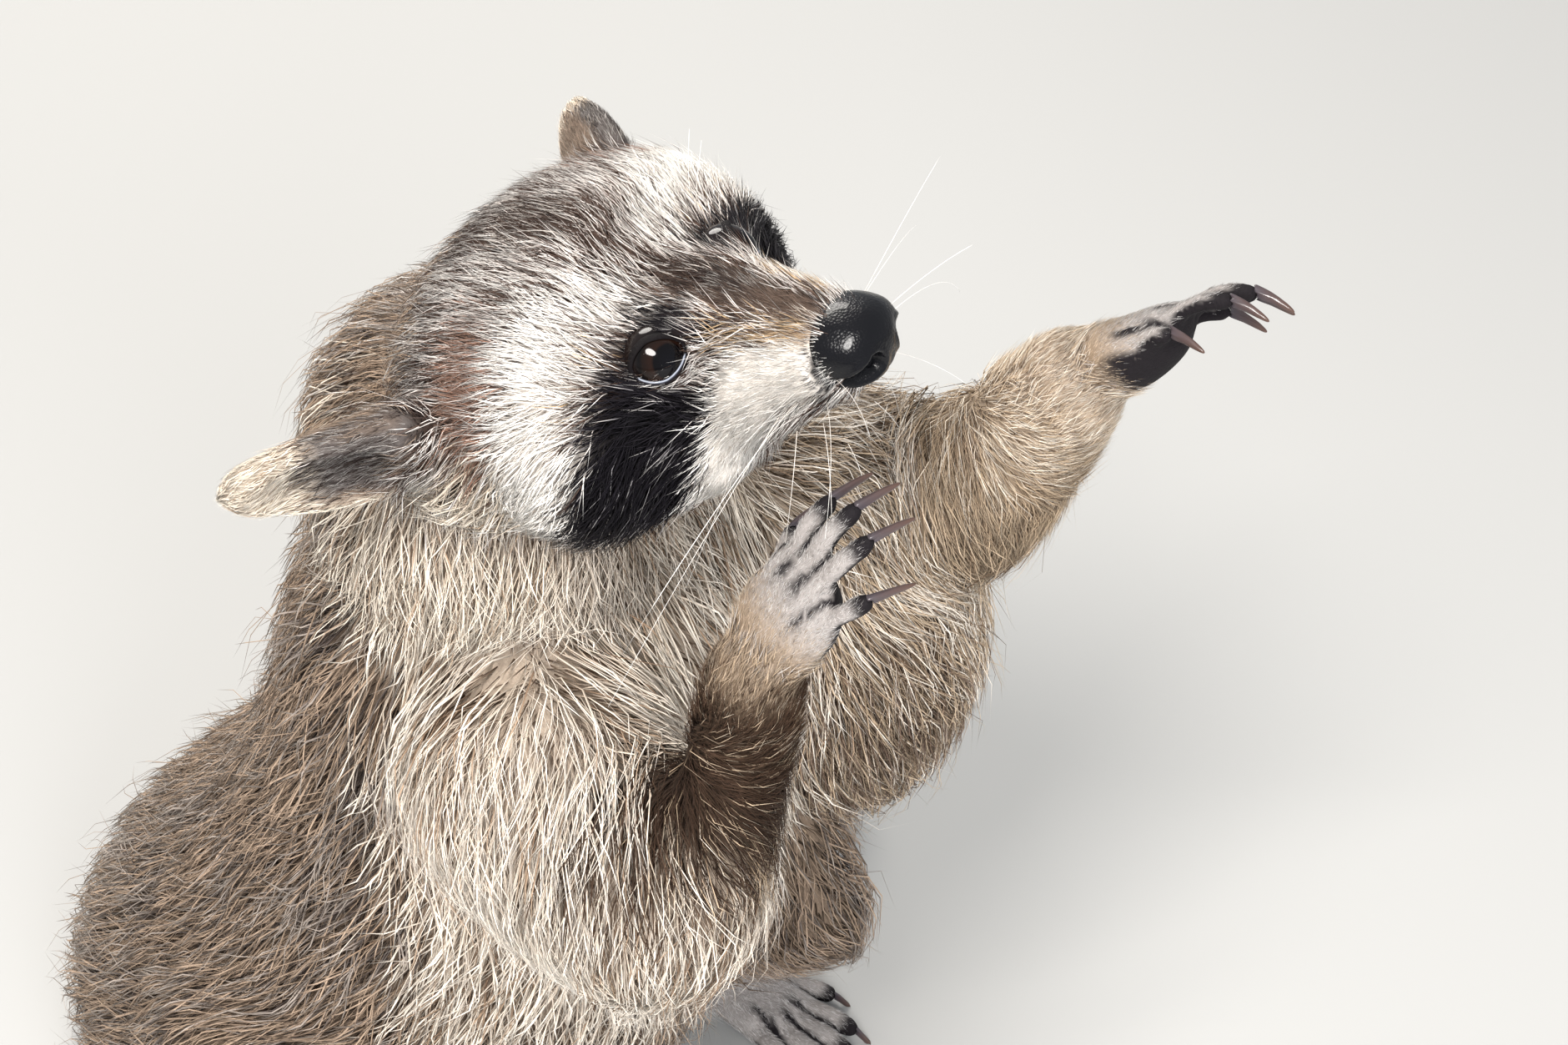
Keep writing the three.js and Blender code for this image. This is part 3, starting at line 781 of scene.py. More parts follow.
def make_skin():
    """The skin with its lids, and the number of its points before the lids'."""
    fillers = ["eye_left", "eye_right", "nose"]
    limbs = {"forearm": 0.2, "shank": 0.2, "hand": 0.1, "foot": 0.1, "tail": 0.3, "upper": 0.4}
    buried = by_region({"head": 7, "ear": 5, "hand": 1.2, "foot": 1.5})
    tail_nodes = [n for n in FLESH if n.startswith("tail")]
    things = [
        eased_shell(FLESH + fillers, 4.0, 3.5, 26, buried, 10, limbs),
        eased_shell(tail_nodes, 4.0, 10, 20, nothing, 10, {}),
        eased_shell(["head", "ear_left", "ear_right"] + fillers, 1.3, 0.45, 12, nothing, 14, {"ear": 0.2}),
    ]
    cup_ears(things[2])
    for limb in LIMBS:
        above = limb.replace("hand", "forearm").replace("foot", "shank")
        things.append(eased_shell([limb, above], 0.9, 0.45, 11, into_limb, 3, {"hand": 0.35, "foot": 0.4}))
    shells = [(points_of(thing.data), triangles_of(thing.data)) for thing in things]
    for thing in things:
        bpy.data.objects.remove(thing)
    skin = joined("skin", shells)
    after(skin, "REMESH", mode="VOXEL", voxel_size=1.1 * MM)
    points = points_of(skin.data)
    edges = edges_of(skin.data)
    points = averaged(points, edges, 5, 0.1 + 0.4 * soft(nearest(points, LIMBS_AT), 30, 40))
    set_points(skin.data, averaged(points, edges, 40, 0.5 * soft(-nearest(points, WRISTS_AT), -24, -12)))
    after(skin, "DECIMATE", ratio=min(1.0, SKIN_FACES / (2 * len(skin.data.polygons))))
    body = (points_of(skin.data), triangles_of(skin.data))
    bpy.data.objects.remove(skin)
    return joined("skin", [body, eyelids(1), eyelids(-1)]), len(body[0])


# The eye's opening: the way it faces and the way to its inner corner, in the head's frame, left eye.
EYE_AT = np.array([19.5, 3, -2.5])
EYE_RADIUS = 8.5
LID_FACE = unit([0.66, -0.60, 0.45])
LID_CORNER = unit([-0.705, -0.699, 0.105])
LID_OVER = np.cross(LID_CORNER, LID_FACE)
LID_REACH = {"inner": 58, "outer": 47, "upper": 34, "lower": 35}      # degrees from the middle
LID_ROUND = 1.6             # 2 is an oval, less is more pointed
LID_COLUMNS = 72
# Rows of a lid from the opening outwards and back under: degrees past the edge and height on the eye.
LID_SECTION = [(0, 0.02), (1.1, 0.3), (3, 0.45), (7, 0.42), (13, 0.0), (22, -0.8), (22, -1.5), (3, -0.7)]


def lid_edge(turn):
    """The opening's reach in degrees from its middle, turned from the inner corner over the top."""
    length = np.where(np.cos(turn) > 0, LID_REACH["inner"], LID_REACH["outer"])
    height = np.where(np.sin(turn) > 0, LID_REACH["upper"], LID_REACH["lower"])
    sides = np.abs(np.cos(turn) / length) ** LID_ROUND + np.abs(np.sin(turn) / height) ** LID_ROUND
    return sides ** (-1 / LID_ROUND)


def from_opening(points):
    """Degrees outside the nearer eye's opening, and millimetres from that eye's middle."""
    arm = left_sided(to_head(points)) - EYE_AT
    away = norms(arm)
    polar = np.degrees(np.arccos(np.clip(arm @ LID_FACE / np.maximum(away, 1e-6), -1, 1)))
    return polar - lid_edge(np.arctan2(arm @ LID_OVER, arm @ LID_CORNER)), away


def lid_turns():
    return np.arange(LID_COLUMNS) / LID_COLUMNS * 2 * math.pi


def eyelids(side):
    """A closed ring round one eye's opening."""
    turn = lid_turns()
    edge = lid_edge(turn)
    ring = LID_CORNER * np.cos(turn)[:, None] + LID_OVER * np.sin(turn)[:, None]
    rows = []
    for past, height in LID_SECTION:
        polar = np.radians(np.minimum(edge + past, 98))[:, None]
        thick = 1 + 0.25 * np.maximum(np.sin(turn), 0)[:, None] * (height > 0.5)
        rows.append((LID_FACE * np.cos(polar) + ring * np.sin(polar)) * (EYE_RADIUS + height * thick))
    points = (np.vstack(rows) + EYE_AT) * [side, 1, 1]
    faces = []
    for k in range(len(rows)):
        for j in range(LID_COLUMNS):
            a, b = k * LID_COLUMNS + j, k * LID_COLUMNS + (j + 1) % LID_COLUMNS
            c, d = (a + LID_COLUMNS) % len(points), (b + LID_COLUMNS) % len(points)
            faces += [(a, b, d), (a, d, c)] if side > 0 else [(a, d, b), (a, c, d)]
    return from_head(points), np.array(faces)


skin, LID_START = make_skin()
skin_points = points_of(skin.data)
skin_normals = normals_of(skin.data)
skin_edges = edges_of(skin.data)
skin_share = regions_over(skin.data, 14)
skin_pelts, skin_numbers = coat_of(skin_points, skin_share)
print("skin", len(triangles_of(skin.data)), "triangles")

# ---- bare skin and the lie of the coat
MOUTH = [(0, -41, -22, 1.6), (6, -38, -26, 1.6), (12, -27, -31, 1.5), (18, -12, -34, 1.2), (21, 0, -33, 0.6)]


def bare_share(points, normals, share):
    """How bare and dark the skin is: palms, soles, lips and round the eyes."""
    on = dict(zip(REGION_NAMES, share.T))
    bare = np.zeros(len(points))
    for name, where in (("left", points[:, 0] > BODY_AT[0]), ("right", points[:, 0] <= BODY_AT[0])):
        facing = normals @ HAND_BACK[name]
        reach_out = (points - HAND_AT[name]) @ HAND_ALONG[name]
        fingers = soft(reach_out, 2, 16)
        palm = soft(-facing, -0.05 - 0.3 * fingers, 0.3 - 0.3 * fingers) * soft(reach_out, -24, -12)
        bare = np.maximum(bare, palm * where * on["hand"])
    bare = np.maximum(bare, soft(-normals[:, 2], 0.2, 0.6) * on["foot"])
    _, along, facing, further = digit_parts(points)
    gaps = soft(along, 0.02, 0.25) * soft(-facing, -0.6, -0.3)
    gaps = np.maximum(gaps, soft(along, -0.3, 0.0) * soft(-further, -2.2, -0.9))
    bare = np.maximum(bare, np.maximum(gaps, soft(along, 0.52, 0.72)) * (on["hand"] + on["foot"]))
    past, away = from_opening(points)
    bare = np.maximum(bare, soft(-past, -8, -4) * soft(-away, -13, -11.5))
    bare = np.maximum(bare, soft(reach(to_head(points), MOUTH, True), -0.4, 0.8) * on["head"])
    return bare


def lie_over(points, normals, share):
    """The way the coat lies at each point, as a unit vector in the surface."""
    on = {name: column[:, None] for name, column in zip(REGION_NAMES, share.T)}
    head = to_head(points)
    body = points - BODY_AT
    side = np.sign(head[:, :1])
    away = unit(head - np.array([0, -50, -9]))
    over = unit(away * [0.5, 1, 0.6] + [0, 0.35, 0])
    cheek = (soft(np.abs(head[:, 0]), 26, 46) * soft(-head[:, 2], -6, 14))[:, None]
    down_back = mirrored([0.35, 0.8, -0.75], side)
    face = over * (1 - cheek) + down_back * cheek
    course = (on["head"] * face + on["ear"] * mirrored(EAR_AXIS, side)) @ HEAD
    flank = np.sign(body[:, :1])
    one = np.ones_like(flank)
    front = soft(-body[:, 1], -40, 0)[:, None]
    low = soft(-body[:, 2], -150, -60)[:, None]
    trunk = np.hstack([0.12 * flank, 0.45 - 0.5 * front + 0.35 * low, -0.88 + 0.3 * low])
    right_front = (soft(-body[:, 1], -80, -40) * soft(-body[:, 0], 10, 40) * soft(body[:, 2], 180, 240))
    trunk += (np.array([-0.5, -0.42, -1]) - trunk) * right_front[:, None]
    course += (on["trunk"] + on["neck"]) * trunk
    for name, where in (("left", flank > 0), ("right", flank <= 0)):
        upper = unit(centre(f"forearm_{name}") - centre(f"upper_arm_{name}"))
        fore = unit(HAND_AT[name] - centre(f"forearm_{name}"))
        near_elbow = soft(norms(points - HAND_AT[name]), 38, 66)[:, None]
        hang = [-0.5, -0.42, 0]
        if name == "left":
            hang = upper * (0.4 + 1.2 * np.maximum(normals[:, 2:], 0))
        course += where * on["upper"] * (hang + np.array([0, 0, -1]))
        turning = 8 * near_elbow * (1 - near_elbow) * np.array([0.64, -0.77, 0])
        course += where * on["forearm"] * (fore * (1 - near_elbow) + near_elbow * ARM_HANG[name] + turning)
        course += where * on["hand"] * HAND_ALONG[name]
    course += on["thigh"] * np.hstack([0.1 * flank, -0.15 * one, -0.9 * one])
    course += (on["shank"] + on["foot"]) * np.hstack([0 * one, -one, -0.35 * one])
    course += on["tail"] * tail_course(points)[1]
    return unit(course - normals * np.sum(course * normals, axis=1, keepdims=True))


skin_lie = unit(averaged(lie_over(skin_points, skin_normals, skin_share), skin_edges, 12))
skin_bare = bare_share(skin_points, skin_normals, skin_share)
skin_bare[LID_START:] = 1

# ---- an unwrap of the skin for the coat's maps
def unwrap(thing):
    bpy.ops.object.select_all(action="DESELECT")
    thing.select_set(True)
    bpy.context.view_layer.objects.active = thing
    bpy.ops.object.mode_set(mode="EDIT")
    bpy.ops.mesh.select_all(action="SELECT")
    bpy.ops.uv.smart_project(angle_limit=math.radians(66), island_margin=0.001)
    bpy.ops.object.mode_set(mode="OBJECT")
    thing.data.uv_layers.active.name = "OFBake"


unwrap(skin)

# ---- materials
def material(name, roughness, specular=0.5, coat=0.0):
    """A material, its surface, and ways to add a node to it and to join two."""
    paint = bpy.data.materials.new(name)
    paint.use_nodes = True
    tree = paint.node_tree
    surface = tree.nodes["Principled BSDF"]
    surface.inputs["Roughness"].default_value = roughness
    surface.inputs["Specular IOR Level"].default_value = specular
    surface.inputs["Coat Weight"].default_value = coat
    surface.inputs["Coat Roughness"].default_value = 0.08

    def add(kind, **values):
        made = tree.nodes.new("ShaderNode" + kind)
        for key, value in values.items():
            made.inputs[key.replace("_", " ")].default_value = value
        return made

    def join(start, output, end, entry):
        tree.links.new(start.outputs[output], end.inputs[entry])

    return paint, surface, add, join


def hair_material(name, roughness, scale, bump):
    """Colour from the mesh, broken up by a fine noise."""
    paint, surface, add, join = material(name, roughness, 0.12)
    colour = add("VertexColor")
    colour.layer_name = "coat"
    noise = add("TexNoise", Scale=scale, Detail=3)
    join(add("TexCoord"), "Object", noise, "Vector")
    shade = add("MapRange", To_Min=0.72, To_Max=1.28)
    join(noise, "Fac", shade, "Value")
    mix = add("VectorMath")
    mix.operation = "SCALE"
    join(colour, "Color", mix, 0)
    join(shade, "Result", mix, "Scale")
    join(mix, "Vector", surface, "Base Color")
    if bump:
        relief = add("Bump", Strength=bump, Distance=0.0006)
        join(noise, "Fac", relief, "Height")
        join(relief, "Normal", surface, "Normal")
    return paint


HAIR = hair_material("hair", 0.55, 260, 0)
SKIN = hair_material("skin", 0.75, 1100, 0.6)


def paint_points(mesh, colours):
    layer = mesh.color_attributes.new("coat", "FLOAT_COLOR", "POINT")
    rgba = np.ones((len(colours), 4), np.float32)
    rgba[:, :3] = colours
    layer.data.foreach_set("color", rgba.ravel())
    mesh.color_attributes.active_color = layer


HAIR_COLOURS = np.array([[linear(c) for c in values[:3]] for values in PELTS.values()])
OTHER_COLOURS = np.array([[linear(c) for c in values[4:]] for values in PELTS.values()])
OTHER_SHARE = np.array([values[3] for values in PELTS.values()])
BARE_COLOUR = linear((27, 24, 26))

# the skin under the coat takes its pelt's root and middle colours, darkened as painted shade among the
# locks; bare skin has its own dark colour
under = skin_pelts @ (0.45 * HAIR_COLOURS[:, 0] + 0.4 * HAIR_COLOURS[:, 1])
under = under * (1 - skin_bare[:, None]) + BARE_COLOUR * skin_bare[:, None]
lid = np.arange(LID_START, len(skin_points))
lid_row = (lid - LID_START) // LID_COLUMNS % len(LID_SECTION)
lid_low = np.sin(np.tile(lid_turns(), 2 * len(LID_SECTION))) < -0.3
under[lid] = linear((17, 14, 15))
# a pale line along the lower lid's edge, a painted highlight for light off its wet rim, then a grey band and
# the dark lid
for row, colour in ((1, (150, 154, 164)), (2, (44, 44, 50)), (3, (24, 22, 25))):
    under[lid[lid_low & (lid_row == row)]] = linear(colour)
paint_points(skin.data, under)
skin.data.materials.append(SKIN)

# ---- the coat
LOCK_TRIANGLES = {1: 4, 2: 10, 3: 16}  # of a lock of so many segments
MOST = 190000                           # triangles in one piece
WIDTH_AT_ROOT = 0.14
WIDTH_BY_LENGTH = 0.012
FINENESS = {"neck": 0.72, "upper": 0.72, "forearm": 0.75, "head": 0.95, "trunk": 0.95}
LOCK_COVER = 0.6                        # of its length times its width
COAT_FULLNESS = 0.93
STRAY_SHARE = 0.055                     # hairs that stand out of their clumps
FINE_SHARE = 0.4                        # hairs of half the width
TURN_SPREAD = 0.33                      # radians off the lie of the coat, for a hair
STEP_SPREAD = 0.18                      # and for each step of it
TWO_SEGMENTS, THREE_SEGMENTS = 7, 24    # millimetres of hair they start from
CORNER_TURNS = (0, 2.0944, 4.18879)     # a third of a turn apart
PATCH_SIZE = 0.0015                     # of a lock's place on the unwrap


def scatter(corners, weight, draw):
    """Roots spread over the skin, so many to the square centimetre: their triangles and places in them."""
    a, b, c = (skin_points[corners[:, k]] for k in range(3))
    square_cm = norms(np.cross(b - a, c - a)) / 200
    hoped = square_cm * weight
    count = np.floor(hoped + draw.random(len(hoped))).astype(int)
    face = np.repeat(np.arange(len(corners)), count)
    u, v = draw.random((2, len(face)))
    flip = u + v > 1
    u, v = np.where(flip, 1 - u, u), np.where(flip, 1 - v, v)
    return face, np.stack([1 - u - v, u, v], axis=1)


def blend_at(values, corners, place):
    return np.einsum("nk,nk...->n...", place, values[corners])


SKIN_TREE = BVHTree.FromPolygons(skin_points.tolist(), triangles_of(skin.data).tolist())


def settle(points, corners):
    """The nearest points of the skin, with their normals and the lie of the coat there."""
    found = [SKIN_TREE.find_nearest(p) for p in points.tolist()]
    place = np.array([f[0] for f in found])
    vertex = corners[[f[2] for f in found], 0]
    return place, skin_normals[vertex], skin_lie[vertex]


def grow_coat():
    """Every lock's path, width, colours, place on the unwrap, region and number of segments."""
    draw = np.random.default_rng(20)
    corners = triangles_of(skin.data)
    fineness = skin_share @ np.array([FINENESS.get(name, 1) for name in REGION_NAMES])
    lock_width = (WIDTH_AT_ROOT + WIDTH_BY_LENGTH * skin_numbers[:, 1]) * fineness
    density = skin_numbers[:, 2] * 100 / (LOCK_COVER * lock_width * skin_numbers[:, 1]) * (1 - skin_bare)
    face, place = scatter(corners, density[corners].mean(axis=1) * COAT_FULLNESS, draw)
    corner = corners[face]
    root = blend_at(skin_points, corner, place)
    normal = unit(blend_at(skin_normals, corner, place))
    lie = unit(blend_at(skin_lie, corner, place))
    depth, length, _ = blend_at(skin_numbers, corner, place).T
    width = blend_at(lock_width, corner, place)
    pelts = blend_at(skin_pelts, corner, place)
    count = len(root)
    length = length * draw.uniform(0.65, 1.2, count)
    stray = draw.random(count) < STRAY_SHARE
    lift = draw.uniform(0.55, 1.05, count) + 0.5 * stray
    fine = draw.random(count) < FINE_SHARE
    width = width * draw.uniform(0.85, 1.2, count) * np.where(fine | stray, 0.5, 1.15)
    # a hair's course over the skin, in three steps
    turn = draw.normal(0, TURN_SPREAD, count)[:, None]
    lie = unit(lie + np.cross(normal, lie) * turn)
    path = [root - normal * 0.4]
    at, up, way = root, normal, lie
    for step in range(3):
        ahead = at + way * (length / 3)[:, None]
        at, up, new_way = settle(ahead, corners)
        way = unit(new_way + np.cross(up, new_way) * (turn + draw.normal(0, STEP_SPREAD, (count, 1))))
        rise = 1 - (1 - (step + 1) / 3) ** 1.7
        path.append(at + up * (depth * lift * rise + 0.15)[:, None])
    path = np.stack(path, axis=1)
    # clumps: hairs lean towards the tip of a neighbour chosen as their leader
    clump_size = np.clip(length * 0.22, 1.2, 8)
    roots = np.maximum(blend_at(density, corner, place), 1) * COAT_FULLNESS
    leader = draw.random(count) < np.clip(1 / (roots / 100 * clump_size ** 2), 0, 1)
    heads = np.flatnonzero(leader)
    tree = KDTree(len(heads))
    for i, k in enumerate(heads.tolist()):
        tree.insert(root[k], i)
    tree.balance()
    follows = heads[[tree.find(p)[1] for p in root.tolist()]]
    pull = np.where(stray, 0, draw.uniform(0.25, 0.6, count))[:, None]
    for step, share in ((3, 1), (2, 0.6), (1, 0.2)):
        path[:, step] += (path[follows, step] - path[:, step]) * pull * share
    path[:, 1:, 2] = np.maximum(path[:, 1:, 2], 0.6)
    # colours: one pelt drawn for each hair, its second set for some, and a shade for each clump
    chance = draw.random(count)[:, None] * pelts.sum(axis=1, keepdims=True)
    pick = (np.cumsum(pelts, axis=1) > chance).argmax(axis=1)
    mood = draw.random(count)[follows]
    by_clump = np.where(length > THREE_SEGMENTS, 0.75, 0.35)
    other = (1 - by_clump) * draw.random(count) + by_clump * mood < OTHER_SHARE[pick]
    colour = np.where(other[:, None, None], OTHER_COLOURS[pick], HAIR_COLOURS[pick])
    shade = draw.uniform(0.68, 1.2, count) * (0.88 + 0.24 * draw.random(count)[follows])
    colour = colour * shade[:, None, None]
    # the root's place on the unwrap
    flat = read(skin.data.uv_layers["OFBake"].data, "uv", 2)
    loops = read(skin.data.loop_triangles, "loops", 3, np.int32)
    spot = np.einsum("nk,nkd->nd", place, flat[loops[face]])
    region = blend_at(skin_share, corner, place).argmax(axis=1)
    long = np.where(fine, length * 0.6, length)
    segments = 1 + (long >= TWO_SEGMENTS).astype(int) + (long >= THREE_SEGMENTS)
    return path, width, colour, spot, region, segments


def locks(name, path, width, colour, spot):
    """A closed mesh of tapering three-sided locks along paths of any number of points."""
    count, stations, _ = path.shape
    segments = stations - 1
    run = unit(path[:, 1:] - path[:, :-1])
    aside = unit(np.cross(run[:, 0], unit(rng.normal(size=(count, 3)))))
    over = np.cross(run[:, 0], aside)
    rings = []
    for k in range(segments):
        size = (width * (0.5 if k else 0.42) * (1 - 0.25 * k / segments))[:, None]
        for turn in CORNER_TURNS:
            rings.append(path[:, k] + size * (aside * math.cos(turn) + over * math.sin(turn)))
    points = np.stack(rings + [path[:, -1]], axis=1)
    tip = 3 * segments
    faces = [(0, 2, 1)] + wall(3, segments)
    faces += [(tip - 3 + j, tip - 3 + (j + 1) % 3, tip) for j in range(3)]
    per = tip + 1
    every = (np.arange(count)[:, None, None] * per + np.array(faces)).reshape(-1, 3)
    thing = new_object(name, points.reshape(-1, 3), every)
    # colours along each lock from root to tip; the darker root is partly painted shade deep in the coat
    shades = []
    for k in range(segments):
        t = 2 * k / segments
        low = int(t)
        shade = colour[:, low] * (1 - (t - low)) + colour[:, min(low + 1, 2)] * (t - low)
        shades += [shade] * 3
    paint_points(thing.data, np.stack(shades + [colour[:, 2]], axis=1).reshape(-1, 3))
    # each lock is a small patch of the unwrap round its root
    patch = np.array([[math.cos(turn), math.sin(turn)] for turn in CORNER_TURNS]) * PATCH_SIZE
    corner_spots = [patch[j] * (1 - 0.6 * k / segments) for k in range(segments) for j in range(3)]
    spots = spot[:, None] + np.array(corner_spots + [[0, 0]])
    layer = thing.data.uv_layers.new(name="OFBake")
    layer.data.foreach_set("uv", spots.reshape(-1, 2)[every.ravel()].astype(np.float32).ravel())
    thing.data.materials.append(HAIR)
    return thing


PIECES = {
    "head": ["head"], "ears": ["ear"], "neck": ["neck"], "trunk": ["trunk"],
    "arms": ["upper", "forearm"], "hands": ["hand"], "legs": ["thigh", "shank"],
    "feet": ["foot"], "tail": ["tail"],
}


def coat_pieces():
    path, width, colour, spot, region, segments_of = grow_coat()
    made = []
    total = 0
    for name, names in PIECES.items():
        here = np.isin(region, [REGION_NAMES.index(n) for n in names])
        for segments, stations in ((1, [0, 3]), (2, [0, 1, 3]), (3, [0, 1, 2, 3])):
            chosen = np.flatnonzero(here & (segments_of == segments))
            parts = max(1, math.ceil(len(chosen) * LOCK_TRIANGLES[segments] / MOST))
            for number, group in enumerate(np.array_split(chosen, parts)):
                if len(group) == 0:
                    continue
                label = f"coat_{name}_{segments}_{number + 1}"
                made.append(locks(label, path[group][:, stations], width[group], colour[group], spot[group]))
                total += len(group) * LOCK_TRIANGLES[segments]
                print(label, len(group), "locks")
    print("coat", total, "triangles")
    return made


coat = coat_pieces()

# ---- eyes
GAZE = unit([0.42, -0.86, 0.28])          # in the head's frame, for its left eye


def eyeball(side):
    """A ball that stands out over the iris, each point marked with its angle from the gaze."""
    name = "eye_left" if side > 0 else "eye_right"
    middle = centre(name)
    gaze = (GAZE * [side, 1, 1]) @ HEAD
    across = unit(np.cross(gaze, HEAD_Z))
    over = np.cross(across, gaze)
    rows, columns = 40, 64
    points = [middle + gaze * (EYE_RADIUS + 0.35)]
    angles = [0.0]
    for i in range(1, rows):
        polar = math.pi * i / rows
        radius = EYE_RADIUS - 0.25 + 0.6 * float(soft(-polar, -0.75, 0.0))
        for j in range(columns):
            turn = 2 * math.pi * j / columns
            ring = across * math.cos(turn) + over * math.sin(turn)
            points.append(middle + radius * (gaze * math.cos(polar) + ring * math.sin(polar)))
            angles.append(polar)
    points.append(middle - gaze * (EYE_RADIUS - 0.25))
    angles.append(math.pi)
    work = bmesh.new()
    verts = [work.verts.new(p * MM) for p in points]
    for j in range(columns):
        k = (j + 1) % columns
        work.faces.new((verts[0], verts[1 + j], verts[1 + k]))
        for i in range(rows - 2):
            a = 1 + i * columns
            work.faces.new((verts[a + j], verts[a + columns + j], verts[a + columns + k], verts[a + k]))
        a = 1 + (rows - 2) * columns
        work.faces.new((verts[a + j], verts[-1], verts[a + k]))
    bmesh.ops.recalc_face_normals(work, faces=work.faces)
    mesh = bpy.data.meshes.new(f"eyeball_{name}")
    work.to_mesh(mesh)
    work.free()
    smooth(mesh)
    layer = mesh.attributes.new("gaze", "FLOAT", "POINT")
    layer.data.foreach_set("value", np.array(angles, np.float32))
    thing = added(f"eyeball_{name[4:]}", mesh)
    mesh.materials.append(EYE)
    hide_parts(name)
    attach(thing, "root")


def eye_material():
    """Pupil, iris and dark rim by the angle from the gaze."""
    paint, surface, add, join = material("eye", 0.05, 0.12, 0.25)
    angle = add("Attribute")
    angle.attribute_name = "gaze"
    ramp = add("ValToRGB")
    stops = ramp.color_ramp.elements
    stops[0].color = (0.002, 0.002, 0.003, 1)
    stops[1].color = (0.02, 0.012, 0.01, 1)
    for place, colour in ((0.16, (4, 3, 4)), (0.185, (26, 14, 9)), (0.27, (17, 10, 7)), (0.30, (6, 5, 5)),
                          (0.36, (20, 15, 14))):
        stops.new(place).color = (*linear(colour), 1)
    scale = add("Math")
    scale.operation = "DIVIDE"
    scale.inputs[1].default_value = math.pi
    join(angle, "Fac", scale, 0)
    join(scale, "Value", ramp, "Fac")
    join(ramp, "Color", surface, "Base Color")
    return paint


EYE = eye_material()
for side in (1, -1):
    eyeball(side)

# ---- nose
def nose_leather():
    paint, surface, add, join = material("nose", 0.26, 0.14, 0.22)
    surface.inputs["Base Color"].default_value = (0.004, 0.004, 0.005, 1)
    cells = add("TexVoronoi", Scale=1500)
    join(add("TexCoord"), "Object", cells, "Vector")
    relief = add("Bump", Strength=0.5, Distance=0.0002)
    join(cells, "Distance", relief, "Height")
    join(relief, "Normal", surface, "Normal")
    return paint


NOSTRIL = [(6.6, -49, -9.6, 2.7), (9.0, -46, -10.6, 2.3), (11, -42, -11.8, 1.5), (12, -39, -12.4, 0.8)]


def make_nose():
    thing = joined("nose_leather", [shell_of("nose", 0.7)])
    after(thing, "REMESH", mode="VOXEL", voxel_size=0.5 * MM)
    mesh = thing.data
    edges = edges_of(mesh)
    points = averaged(points_of(mesh), edges, 40)
    set_points(mesh, points)
    normals = normals_of(mesh)
    head = to_head(points)
    nostril = reach(head, NOSTRIL, True)
    groove = soft(-np.abs(head[:, 0]), -0.9, -0.1) * soft(-head[:, 2], 9, 12) * soft(-head[:, 1], 38, 44)
    dent = 3.8 * soft(nostril, -0.9, 0.9) + 0.7 * groove - 0.5 * soft(nostril, -2.6, -1.0) * (nostril < -0.6)
    set_points(mesh, averaged(points - normals * dent[:, None], edges, 2))
    smooth(mesh)
    mesh.materials.append(nose_leather())
    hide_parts("nose")
    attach(thing, "root")


make_nose()


# ---- claws
def make_claws():
    paint, surface, add, join = material("claw", 0.28, 0.3, 0.3)
    colour = add("VertexColor")
    colour.layer_name = "coat"
    join(colour, "Color", surface, "Base Color")
    names = [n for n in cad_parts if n.startswith("claw_")]
    shells, shades = [], []
    for name in names:
        limb = "_".join(name.split("_")[1:3])
        points, faces = shell_of(name, 0.25)
        away = norms(points - centre(limb))
        shells.append((points, faces))
        shades.append((away - away.min()) / (away.max() - away.min()))
    thing = joined("claws", shells)
    t = np.concatenate(shades)[:, None]
    paint_points(thing.data, between((62, 57, 62), (78, 58, 49), t))
    after(thing, "SUBSURF", levels=2, render_levels=2)
    thing.data.materials.append(paint)
    smooth(thing.data)
    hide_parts(*names)
    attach(thing, "root")


make_claws()

# ---- whiskers
WHISKER_POINTS = 15
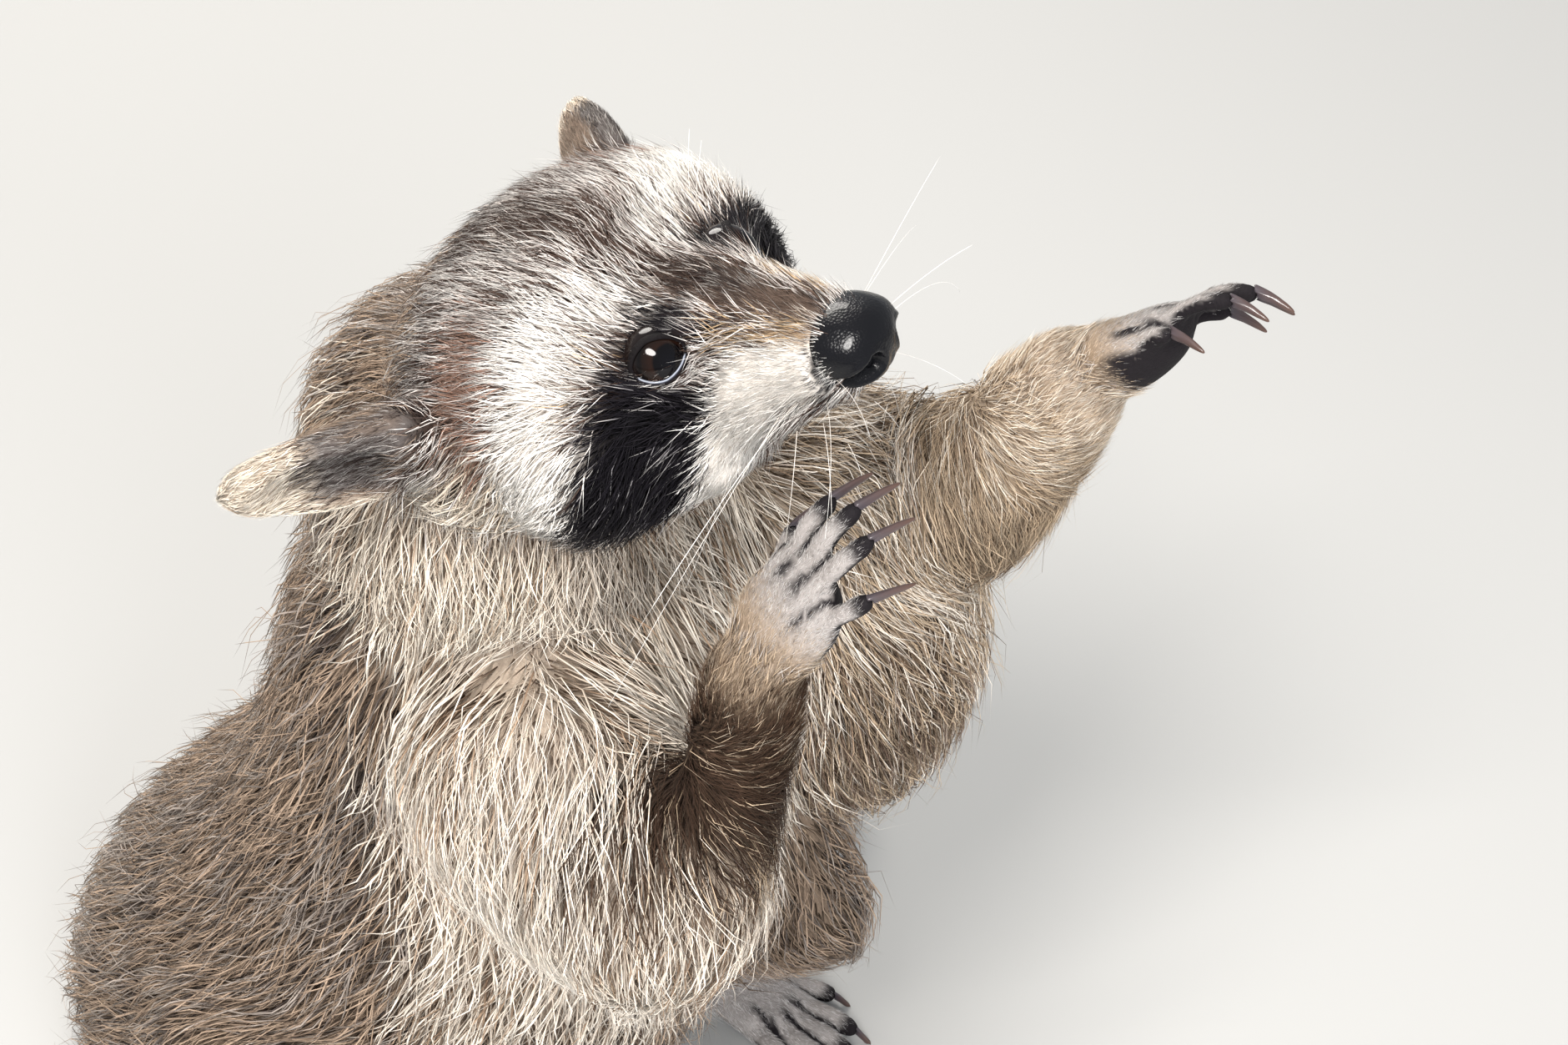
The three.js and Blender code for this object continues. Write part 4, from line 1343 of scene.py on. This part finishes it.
# Roots on the left pad and ways out from it, in the head's frame: place, way, length and droop.
WHISKERS = [
    ((10, -39, -12), (0.66, -0.66, 0.36), 44, 0.5),
    ((13, -34, -11), (0.80, -0.22, 0.46), 56, 0.6),
    ((13, -37, -17), (0.86, -0.44, 0.10), 52, 0.9),
    ((16, -31, -15), (0.94, 0.02, 0.10), 62, 0.8),
    ((18, -26, -19), (0.86, 0.34, -0.20), 62, 0.8),
    ((14, -35, -23), (0.70, -0.42, -0.46), 36, 0.7),
    ((17, -29, -24), (0.66, 0.10, -0.66), 54, 0.7),
    ((19, -21, -26), (0.52, 0.46, -0.62), 58, 0.7),
    ((20, -13, -31), (0.34, 0.42, -0.80), 34, 0.6),
    ((22, 8, 12), (0.35, -0.10, 0.90), 13, -0.4),
    ((25, 11, 13), (0.45, 0.20, 0.85), 12, -0.5),
    ((8, -36, -35), (0.24, -0.40, -0.80), 9, 0.4),
]


def make_whiskers():
    draw = np.random.default_rng(4)
    shells = []
    for side in (1, -1):
        for root, way, long, droop in WHISKERS:
            way = unit(np.array(way) + draw.normal(0, 0.07, 3))
            long = long * draw.uniform(0.9, 1.1)
            t = np.linspace(0, 1, WHISKER_POINTS)[:, None]
            bend = np.array([0, 0.5, -0.8]) * droop * draw.uniform(0.5, 1.3) * 0.7
            spine = np.array(root) + long * (way * t + bend * t * t)
            shells.append(tube(from_head(spine * [side, 1, 1]), 0.09, 0.03))
    thing = joined("whiskers", shells)
    tip = np.tile(np.repeat(np.linspace(0, 1, WHISKER_POINTS), 4), len(shells))[:, None]
    paint_points(thing.data, between((214, 204, 192), (250, 248, 243), tip))
    thing.data.materials.append(HAIR)
    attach(thing, "root")


def tube(spine, first, last):
    """A closed four-sided tube of a radius that falls from first to last."""
    run = unit(np.gradient(spine, axis=0))
    aside = unit(np.cross(run, [0.3, 0.5, 0.8]))
    over = np.cross(run, aside)
    radius = np.linspace(first, last, len(spine))[:, None]
    rings = []
    for j in range(4):
        turn = j * math.pi / 2
        rings.append(spine + radius * (aside * math.cos(turn) + over * math.sin(turn)))
    points = np.stack(rings, axis=1).reshape(-1, 3)
    end = 4 * (len(spine) - 1)
    faces = wall(4, len(spine))
    faces += [(0, 2, 1), (0, 3, 2), (end, end + 1, end + 2), (end, end + 2, end + 3)]
    return points, np.array(faces)


make_whiskers()

# ---- the frame
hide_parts(*FLESH)
for piece in [skin, *coat]:
    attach(piece, "root")
